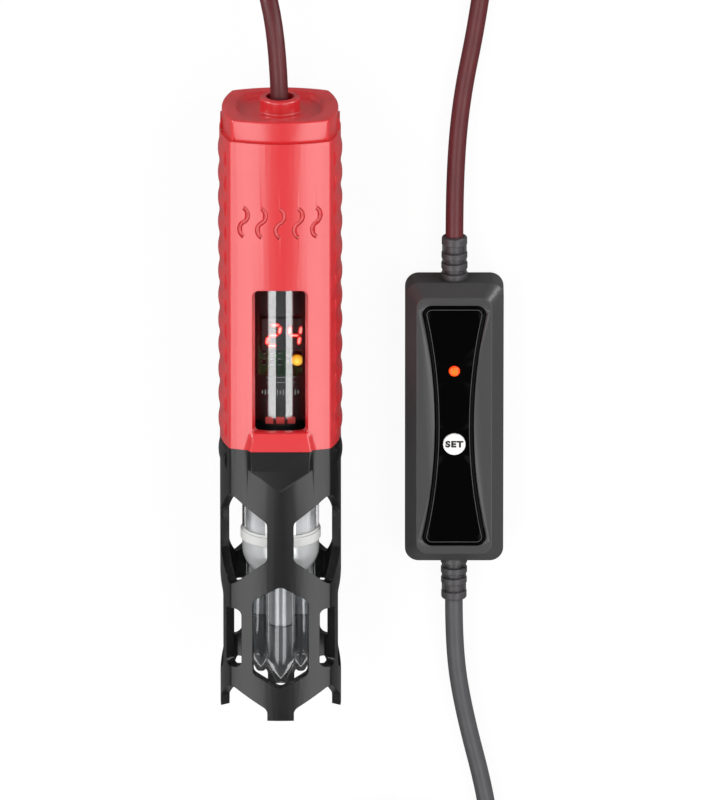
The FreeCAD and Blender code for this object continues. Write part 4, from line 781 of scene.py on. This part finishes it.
@dataclass
class Casing:
    """The red casing with its cap, the black guard and the suction cups."""

    cup_places: tuple[tuple[str, float], ...] = (("upper", 218.0), ("lower", 130.0))
    # The headed stem, as radius and depth below its top.
    cup_stem: tuple[Pair, ...] = (
        (0.0, 0.0), (4.6, 0.0), (5.2, 0.6), (5.2, 1.2), (4.6, 1.8), (3.9, 2.1))
    # The bell from its neck out to the lip and back inside, as radius and height.
    cup_bell: tuple[Pair, ...] = (
        (3.9, 13.4), (4.4, 12.8), (6.0, 12.0), (6.4, 11.2), (6.6, 8.2), (7.6, 7.0), (10.4, 5.6),
        (13.2, 3.9), (15.4, 2.2), (16.5, 1.2), (17.0, 0.8), (17.0, 0.25), (16.7, 0.0),
        (16.0, 0.0), (15.5, 0.5), (13.2, 1.9), (10.2, 3.4), (6.6, 4.6), (3.0, 5.1), (0.0, 5.2))
    cup_steps: int = 72

    def build(self) -> None:
        """Dresses the mouldings and builds the soft pieces."""
        dress_node("sleeve", RED_ABS, smooth=24.0)
        dress_node("top_cap", RED_ABS, smooth=24.0)
        dress_node("guard_cage", BLACK_ABS, smooth=24.0)
        for ring in ("centring_ring_upper", "centring_ring_lower"):
            dress_node(ring, BLACK_RUBBER)
        for label, place in self.cup_places:
            self.suction_cup(label, place)

    def suction_cup(self, label: str, place: float) -> None:
        """Builds a suction cup: a thin bell with a bead round its lip and a headed stem.

        Args:
            label: "upper" or "lower".
            place: The distance of its peg from the heater's foot.
        """
        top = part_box(f"suction_cup_{label}")[1].z / MM
        stem = [(radius, top - depth) for radius, depth in self.cup_stem]
        shape = spun(stem + list(self.cup_bell), self.cup_steps)
        bmesh.ops.translate(shape, vec=Vector((SIDE, FOOT + place, 0.0)) * MM, verts=shape.verts)
        add_piece(f"clear_suction_cup_{label}", shape, CLEAR_RUBBER,
                  Body(f"{label}_cup"), [f"suction_cup_{label}"], smooth=50.0)


@dataclass
class GlassWorks:
    """The glass tubes, their ceramic head and what heats the water."""

    tube_inner: float = 4.85
    nose_low: float = 13.2
    nose_long: float = 7.7
    # The nose's inside, as shares of the tube's inner radius and of the nose's length.
    nose_curve: tuple[Pair, ...] = (
        (0.28, 0.3), (0.56, 0.58), (0.8, 0.85), (0.93, 1.04), (1.0, 1.3))
    nose_clear: float = 0.3
    sleeve_low: float = 36.8
    sleeve_top: float = 72.5
    sleeve_radius: float = 4.5
    sleeve_edge: float = 0.4
    sand_clear: float = 0.1
    sand_shoulder: float = 0.6
    sand_edge: float = 0.5
    pitch: float = 9.3
    steps: int = 40

    def build(self) -> None:
        """Dresses the tubes and builds the filled elements."""
        dress_node("display_tube", GLASS)
        dress_node("tube_stopper", BLACK_RUBBER)
        dress_node("head_seal", SEAL_SILICONE)
        dress_node("lower_head", HEAD_CERAMIC)
        dress_node("element_wires", WIRE)
        dress_node("temperature_probe", STEEL)
        for name, degrees in (("front", 90), ("left", 210), ("right", 330)):
            dress_node(f"heating_tube_{name}", QUARTZ)
            self.filling(name, math.radians(degrees))

    def filling(self, name: str, angle: float) -> None:
        """Fills a heating tube: a magnesia sleeve above, packed quartz sand below it, coloured dark
        grey as painted shade.

        Args:
            name: Which tube it is.
            angle: Its place round the heater's axis, in radians.
        """
        radius, edge, low, top = (
            self.sleeve_radius, self.sleeve_edge, self.sleeve_low, self.sleeve_top)
        sleeve = spun([(0.0, low), (radius - edge, low), (radius, low + edge), (radius, top - edge),
                       (radius - edge, top), (0.0, top)], self.steps)
        nose, inner = self.nose_low, self.tube_inner
        cone = [(0.0, nose + self.nose_clear)] + [
            (inner * share, nose + self.nose_long * rise) for share, rise in self.nose_curve]
        packed = low - self.sand_clear
        sand = spun(cone + [(inner, low - self.sand_shoulder), (inner - self.sand_edge, packed),
                            (0.0, packed)], self.steps)
        centre = Vector((SIDE + self.pitch * math.cos(angle), FOOT,
                         AXIS + self.pitch * math.sin(angle))) * MM
        # The shapes are spun round Z, so each is laid along Y with its low end at the foot.
        laid = Matrix.Translation(centre) @ Matrix.Rotation(-math.pi / 2, 4, "X")
        for shape in (sleeve, sand):
            bmesh.ops.transform(shape, matrix=laid, verts=shape.verts)
        add_piece(f"magnesia_sleeve_{name}", sleeve, CORE_CERAMIC,
                  nodes=[f"heating_core_{name}"])
        # The sand piece's dark grey is painted shade.
        add_piece(f"quartz_sand_{name}", sand, SAND_PAINTED_SHADE)


@dataclass
class Display:
    """The display board behind the window, with its digits, lamp and card."""

    middle: Pair = (SIDE + 1.5, FOOT + 159.3)
    digit: Pair = (4.3, 8.7)
    digit_apart: float = 8.2
    slant: float = 0.14
    # A bar's width lying and upright, its gap at a corner, and how much its pale core is less.
    bar_lying: float = 1.4
    bar_upright: float = 1.75
    bar_gap: float = 0.5
    core_shorter: float = 1.0
    core_thinner: float = 0.75
    rim_below: float = 0.04
    glow_reach: float = 14.0
    lamp_radius: float = 2.3
    lamp_flange: float = 0.3
    flange_thick: float = 1.0
    lamp_steps: int = 48
    # Chip parts: across, along and tall, from the heater's axis, its foot and the board.
    chips: tuple[Point, ...] = (
        (-6.5, 150.2, 0.9), (-3.4, 150.2, 0.5), (-0.3, 150.2, 0.5), (2.8, 147.0, 0.9),
        (-6.5, 145.4, 0.5), (-3.4, 145.4, 0.5), (7.6, 145.6, 0.9), (-0.3, 145.4, 0.5))
    # The card's print: thickness, then the places across and along of ticks, rules and bars.
    ink: float = 0.05
    tick_from: float = -7.2
    tick_pitch: float = 1.2
    tick_count: int = 13
    ticks_at: float = 136.9
    rules_at: Pair = (141.1, 143.3)
    bars_from_axis: Point = (-4.4, 0.0, 4.4)
    bars_at: float = 125.0

    def build(self) -> None:
        """Dresses the board and sets the small parts on it."""
        dress_node("display_board", CIRCUIT)
        dress_node("led_display", PART_BLACK)
        dress_node("label_card", CARD)
        dress_node("thermal_fuse", STEEL)
        self.digits()
        self.lamp()
        self.small_parts()
        self.card_print()

    def bar(self, at: Pair, long: float, wide: float, upright: bool, heights: Pair) -> Shape:
        """Makes one pointed bar of a seven-bar digit, sheared with the digit's slant.

        Args:
            at: Its middle, from the display's middle.
            long: Its length between its points.
            wide: Its width.
            upright: True for a bar that runs along Y.
            heights: The heights of its back and its face.

        Returns:
            The bar in metres.
        """
        end, side = long / 2, wide / 2
        outline = [(-end, 0.0), (side - end, side), (end - side, side), (end, 0.0),
                   (end - side, -side), (side - end, -side)]
        if upright:
            outline = [(-across, along) for along, across in outline]
        shape = bmesh.new()
        rings = [[shape.verts.new(Vector((
            self.middle[0] + at[0] + dx + self.slant * (at[1] + dy), self.middle[1] + at[1] + dy,
            height)) * MM) for dx, dy in outline] for height in heights]
        shape.faces.new(rings[1])
        shape.faces.new(rings[0][::-1])
        for here in range(len(outline)):
            after = (here + 1) % len(outline)
            shape.faces.new((rings[0][here], rings[0][after], rings[1][after], rings[1][here]))
        bmesh.ops.recalc_face_normals(shape, faces=shape.faces)
        return shape

    def digits(self) -> None:
        """Lights the bars of a two and a four: a deep red rim round a pale core."""
        low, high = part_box("display_digits")
        face, top = low.z / MM, high.z / MM
        wide, tall = self.digit[0] / 2, self.digit[1] / 2
        places = {"top": (0, tall, False), "middle": (0, 0, False), "bottom": (0, -tall, False),
                  "upper_left": (-wide, tall / 2, True), "upper_right": (wide, tall / 2, True),
                  "lower_left": (-wide, -tall / 2, True), "lower_right": (wide, -tall / 2, True)}
        lit = {-1: ("top", "upper_right", "middle", "lower_left", "bottom"),
               1: ("upper_left", "upper_right", "middle", "lower_right")}
        rims, cores = [], []
        for half, names in lit.items():
            for x, y, upright in (places[name] for name in names):
                long = (tall if upright else 2 * wide) - self.bar_gap
                thick = self.bar_upright if upright else self.bar_lying
                at = (half * self.digit_apart / 2 + x, y)
                rims.append(self.bar(at, long, thick, upright, (face, top - self.rim_below)))
                cores.append(self.bar(at, long - self.core_shorter, thick - self.core_thinner,
                                      upright, (face, top)))
        centre = (*self.middle, face)
        rim = LitLamp("red_bar_rim_lit", "#FF2A20", "#E01812", centre, self.glow_reach, 1.1)
        core = LitLamp("red_bar_core_lit", "#FFB4AC", "#FF8C82", centre, self.glow_reach)
        add_piece("digit_bar_rims", joined(rims), rim, nodes=["display_digits"])
        add_piece("digit_bar_cores", joined(cores), core)

    def lamp(self) -> None:
        """Stands the yellow lamp's lit dome on its black holder."""
        low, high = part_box("heating_led")
        middle, foot, top = (low + high) / 2 / MM, low.z / MM, high.z / MM
        radius, thick = self.lamp_radius, self.flange_thick
        wide = radius + self.lamp_flange
        rise = top - radius
        quarter = [step * math.pi / 16 for step in range(9)]
        dome = spun([(0.0, rise)] + [(radius * math.cos(turn), rise + radius * math.sin(turn))
                                     for turn in quarter], self.lamp_steps)
        holder = spun([(0.0, foot), (wide, foot), (wide, foot + thick),
                       (radius, foot + 1.1 * thick), (radius, rise), (0.0, rise)], self.lamp_steps)
        for shape in (dome, holder):
            bmesh.ops.translate(shape, vec=Vector((*middle[:2], 0.0)) * MM, verts=shape.verts)
        lit = LitLamp("yellow_lamp_lit", "#FFF46A", "#E88A04", (*middle[:2], top), 3.0, 1.1)
        add_piece("yellow_lamp_dome", dome, lit, nodes=["heating_led"], smooth=60.0)
        add_piece("yellow_lamp_holder", holder, PART_BLACK)

    def small_parts(self) -> None:
        """Solders chip resistors and capacitors to the board round the lamp."""
        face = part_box("display_board")[1].z / MM
        bodies, ends = [], []
        for x, y, tall in self.chips:
            at = (SIDE + x, FOOT + y, face + tall / 2)
            bodies.append(block((1.2, 2.0, tall), at, 0.08))
            for end in (-1, 1):
                ends.append(block((1.3, 0.5, tall + 0.1), (at[0], at[1] + end * 1.15, at[2]), 0.1))
        add_piece("board_chip_parts", joined(bodies), PART_BLACK)
        add_piece("board_chip_ends", joined(ends), STEEL)

    def card_print(self) -> None:
        """Prints a row of ticks, two rules and three red bars on the card."""
        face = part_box("label_card")[1].z / MM
        ticks = [block((0.35, 2.2 if number % 2 else 1.4, self.ink),
                       (SIDE + self.tick_from + number * self.tick_pitch, FOOT + self.ticks_at,
                        face)) for number in range(self.tick_count)]
        add_piece("card_scale_print", joined(ticks), PRINT_GREY)
        rules = [block((11.6, 0.22, self.ink), (SIDE + 0.3, FOOT + y, face))
                 for y in self.rules_at]
        add_piece("card_rule_print", joined(rules), PRINT_GREY)
        bars = [block((3.2, 2.9, self.ink), (SIDE + x, FOOT + self.bars_at, face))
                for x in self.bars_from_axis]
        add_piece("card_bar_print", joined(bars), PRINT_RED)


# The controller

@dataclass
class Controller:
    """The inline controller: two shells, the film panel, the button and the board."""

    side: float = 37.6
    along: float = -18.0
    button_at: float = -7.6
    lamp_at: float = 23.4
    # The word: the height of its capitals, the font's size to that, and how much it is widened.
    word_high: float = 2.5
    word_font: float = 1.42
    word_wide: float = 1.14
    word_bold: float = 0.22
    word_thick: float = 0.02
    word_spaced: float = 1.18
    # The panel's painted highlight line: its way in from the edge, its width and thickness, its gap
    # at the holes.
    line_in: float = 0.35
    line_wide: float = 0.28
    line_thick: float = 0.03
    line_clear: float = 5.6

    def build(self) -> None:
        """Dresses the case, prints the word, lays the painted highlight line, and finishes what is
        inside.
        """
        dress_node("controller_back_shell", CASE_ABS, smooth=24.0)
        dress_node("controller_front_shell", CASE_ABS, smooth=24.0)
        dress_node("face_panel", PANEL_FILM, smooth=24.0)
        dress_node("set_button", WHITE_ABS, Body.BUTTON)
        self.word()
        self.panel_line()
        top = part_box("power_led")[1].z / MM
        lamp = LitLamp("orange_lamp_lit", "#FF8A20", "#F03A0A",
                       (self.side, self.along + self.lamp_at, top), 2.3)
        dress_node("power_led", lamp)
        self.inside()

    def word(self) -> None:
        """Prints SET on the button."""
        letters = bpy.data.curves.new("button_word", "FONT")
        letters.body, letters.size = "SET", self.word_high * self.word_font
        letters.align_x, letters.align_y = "CENTER", "CENTER"
        letters.offset, letters.extrude = self.word_bold, self.word_thick
        letters.space_character = self.word_spaced
        flat = shown("button_word", letters)
        mesh = bpy.data.meshes.new_from_object(flat)
        bpy.data.objects.remove(flat)
        shape = bmesh.new()
        shape.from_mesh(mesh)
        bpy.data.meshes.remove(mesh)
        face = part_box("set_button")[1].z / MM
        bmesh.ops.scale(shape, vec=(self.word_wide * MM, MM, MM), verts=shape.verts)
        place = Vector((self.side, self.along + self.button_at, face)) * MM
        bmesh.ops.translate(shape, vec=place, verts=shape.verts)
        add_piece("button_word_print", shape, PRINT_BLACK, Body.BUTTON)

    def panel_line(self) -> None:
        """Lays a thin grey line, a painted highlight of the raised film's edge, that follows the
        panel's outline inside its edge.
        """
        shape = bmesh.new()
        shape.from_mesh(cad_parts["face_panel"].data)
        bmesh.ops.remove_doubles(shape, verts=shape.verts, dist=WELD)
        # Only the flat top of the panel stays.
        top = max(vert.co.z for vert in shape.verts)
        below = [face for face in shape.faces
                 if face.normal.z < 0.99 or face.calc_center_median().z < top - 0.01 * MM]
        bmesh.ops.delete(shape, geom=below, context="FACES")
        even = {"use_boundary": True, "use_even_offset": True}
        border = bmesh.ops.inset_region(shape, faces=shape.faces[:],
                                        thickness=self.line_in * MM, **even)["faces"]
        bmesh.ops.delete(shape, geom=border, context="FACES")
        line = set(bmesh.ops.inset_region(shape, faces=shape.faces[:],
                                          thickness=self.line_wide * MM, **even)["faces"])
        holes = [Vector((self.side, self.along + at)) * MM for at in (self.button_at, self.lamp_at)]
        others = [face for face in shape.faces if face not in line or any(
            (face.calc_center_median().to_2d() - hole).length < self.line_clear * MM
            for hole in holes)]
        bmesh.ops.delete(shape, geom=others, context="FACES")
        raised = bmesh.ops.extrude_face_region(shape, geom=shape.faces[:])["geom"]
        bmesh.ops.translate(shape, vec=(0.0, 0.0, self.line_thick * MM),
                            verts=[item for item in raised if isinstance(item, bmesh.types.BMVert)])
        bmesh.ops.recalc_face_normals(shape, faces=shape.faces)
        # The raised grey line is a painted highlight along the film's edge.
        add_piece("panel_painted_highlight_line", shape, HIGHLIGHT_LINE_GREY)

    def inside(self) -> None:
        """Finishes the pieces inside the case."""
        for node, finish in {
                "switch_plunger": PART_BLACK, "tactile_switch": STEEL, "control_board": CIRCUIT,
                "relay": PART_BLUE, "film_capacitor": PART_YELLOW, "control_chip": PART_BLACK,
                "supply_capacitor": PART_BLACK, "board_fuse": WHITE_ABS,
                "terminal_upper": PART_BLUE, "terminal_lower": PART_BLUE,
                "case_screws": STEEL}.items():
            paint_node(node, finish)


# The leads

@dataclass
class Lead:
    """One whole lead: out of its relief, into a piled coil, and on to its far end."""

    name: str
    finish: Finish
    slot: Slot
    before: tuple[Point, ...]
    after: tuple[Point, ...]
    centre: Pair
    turns: float
    hand: int
    length: float
    far_end: str
    nodes: tuple[str, ...]
    diameter: float = 7.2
    step: float = 7.7
    mean: float = 39.5
    rest: float = 4.75
    climb: float = 0.5
    per_turn: int = 24
    fineness: int = 8

    def coil(self) -> list[Point]:
        """Works out the coil's points: in on the table, up, and out on top.

        Returns:
            The points in millimetres.
        """
        outer = self.mean + self.step * self.turns / 4
        # The spline runs this share inside its points on a circle.
        drawn_in = 0.75 + 0.25 * math.cos(math.tau / self.per_turn)
        points = []
        for index in range(round(self.turns * self.per_turn) + 1):
            turn = index / self.per_turn
            radius = (outer - self.step * min(turn, self.turns - turn)) / drawn_in
            rise = min(max((turn - self.turns / 2) / self.climb + 0.5, 0.0), 1.0)
            angle = math.tau * turn * self.hand
            points.append((self.centre[0] + radius * math.cos(angle),
                           self.centre[1] + radius * math.sin(angle), self.rest + self.step * rise))
        return points

    def build(self, with_pieces: Sequence[bpy.types.Object] = ()) -> None:
        """Args:
            with_pieces: The pieces that hang on its far end or tie it; not used.
        """
        points = [*self.before, *self.coil(), *self.after]
        curve = bpy.data.curves.new(self.name, "CURVE")
        curve.dimensions, curve.resolution_u = "3D", self.fineness
        curve.bevel_depth, curve.bevel_resolution = self.diameter / 2 * MM, self.fineness
        curve.use_fill_caps = True
        spline = curve.splines.new("NURBS")
        spline.points.add(len(points) - 1)
        for point, place in zip(spline.points, points):
            point.co = (*(Vector(place) * MM), 1.0)
        spline.order_u = 3
        spline.use_endpoint_u = True
        spline.use_smooth = True
        curve.materials.append(self.finish.material())
        lead = shown(self.name, curve)
        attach(lead, Body.HEATER.value)
        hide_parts(*self.nodes)
        log.info("%s: %d points", self.name, len(points))


@dataclass
class Leads:
    """Both leads with their reliefs, ties and plug."""

    def build(self) -> None:
        """Builds the reliefs, the ties, the plug and the two leads."""
        for label in ("upper", "lower"):
            dress_node(f"gland_{label}", RELIEF_GREY)
        heater_tie = dress_node("heater_lead_tie", BLACK_RUBBER)
        mains_tie = dress_node("mains_lead_tie", BLACK_RUBBER)
        body = dress_node("plug_body", PART_BLACK)
        boot = dress_node("plug_boot", BLACK_RUBBER)
        pins = dress_node("plug_pins", NICKEL)
        Lead("heater_lead", RED_FLEX, Slot.RED_FLEX,
             before=((37.6, 59.3, 9.5), (37.6, 83.3, 9.5), (40.1, 115.3, 5.6),
                     (46.74, 148.8, 4.6), (51.24, 184.8, 4.75), (51.24, 210.8, 4.75)),
             after=((-41.24, 210.8, 12.45), (-41.24, 178.25, 12.45), (SIDE, 148.75, AXIS),
                    (SIDE, 110.25, AXIS)),
             centre=(5.0, 218.0), turns=3.5, hand=1, length=1144.2, far_end="object",
             nodes=("heater_lead_start", "heater_lead_coil", "heater_lead_end"),
             ).build([heater_tie])
        Lead("mains_lead", GREY_FLEX, Slot.GREY_FLEX,
             before=((37.6, -95.3, 9.5), (37.6, -117.3, 9.5), (41.6, -145.3, 5.6),
                     (51.175, -183.8, 4.6), (53.775, -210.8, 4.75), (53.775, -228.8, 4.75)),
             after=((53.775, -243.2, 12.45), (53.775, -271.2, 12.45), (39.975, -294.9, 10.65),
                    (17.6, -306.0, 14.2), (-2.5, -306.0, 14.2)),
             centre=(8.5, -236.0), turns=3.0, hand=-1, length=994.0, far_end="plug",
             nodes=("mains_lead_start", "mains_lead_coil", "mains_lead_end"),
             ).build([mains_tie, boot, body, pins])


def main() -> None:
    """Builds the studio and every sub-assembly."""
    logging.basicConfig(level=logging.INFO, format="%(message)s")
    for part in (Studio(), Leads(), Casing(), GlassWorks(), Display(), Controller()):
        log.info("building %s", type(part).__name__)
        part.build()


if __name__ == "__main__":
    main()
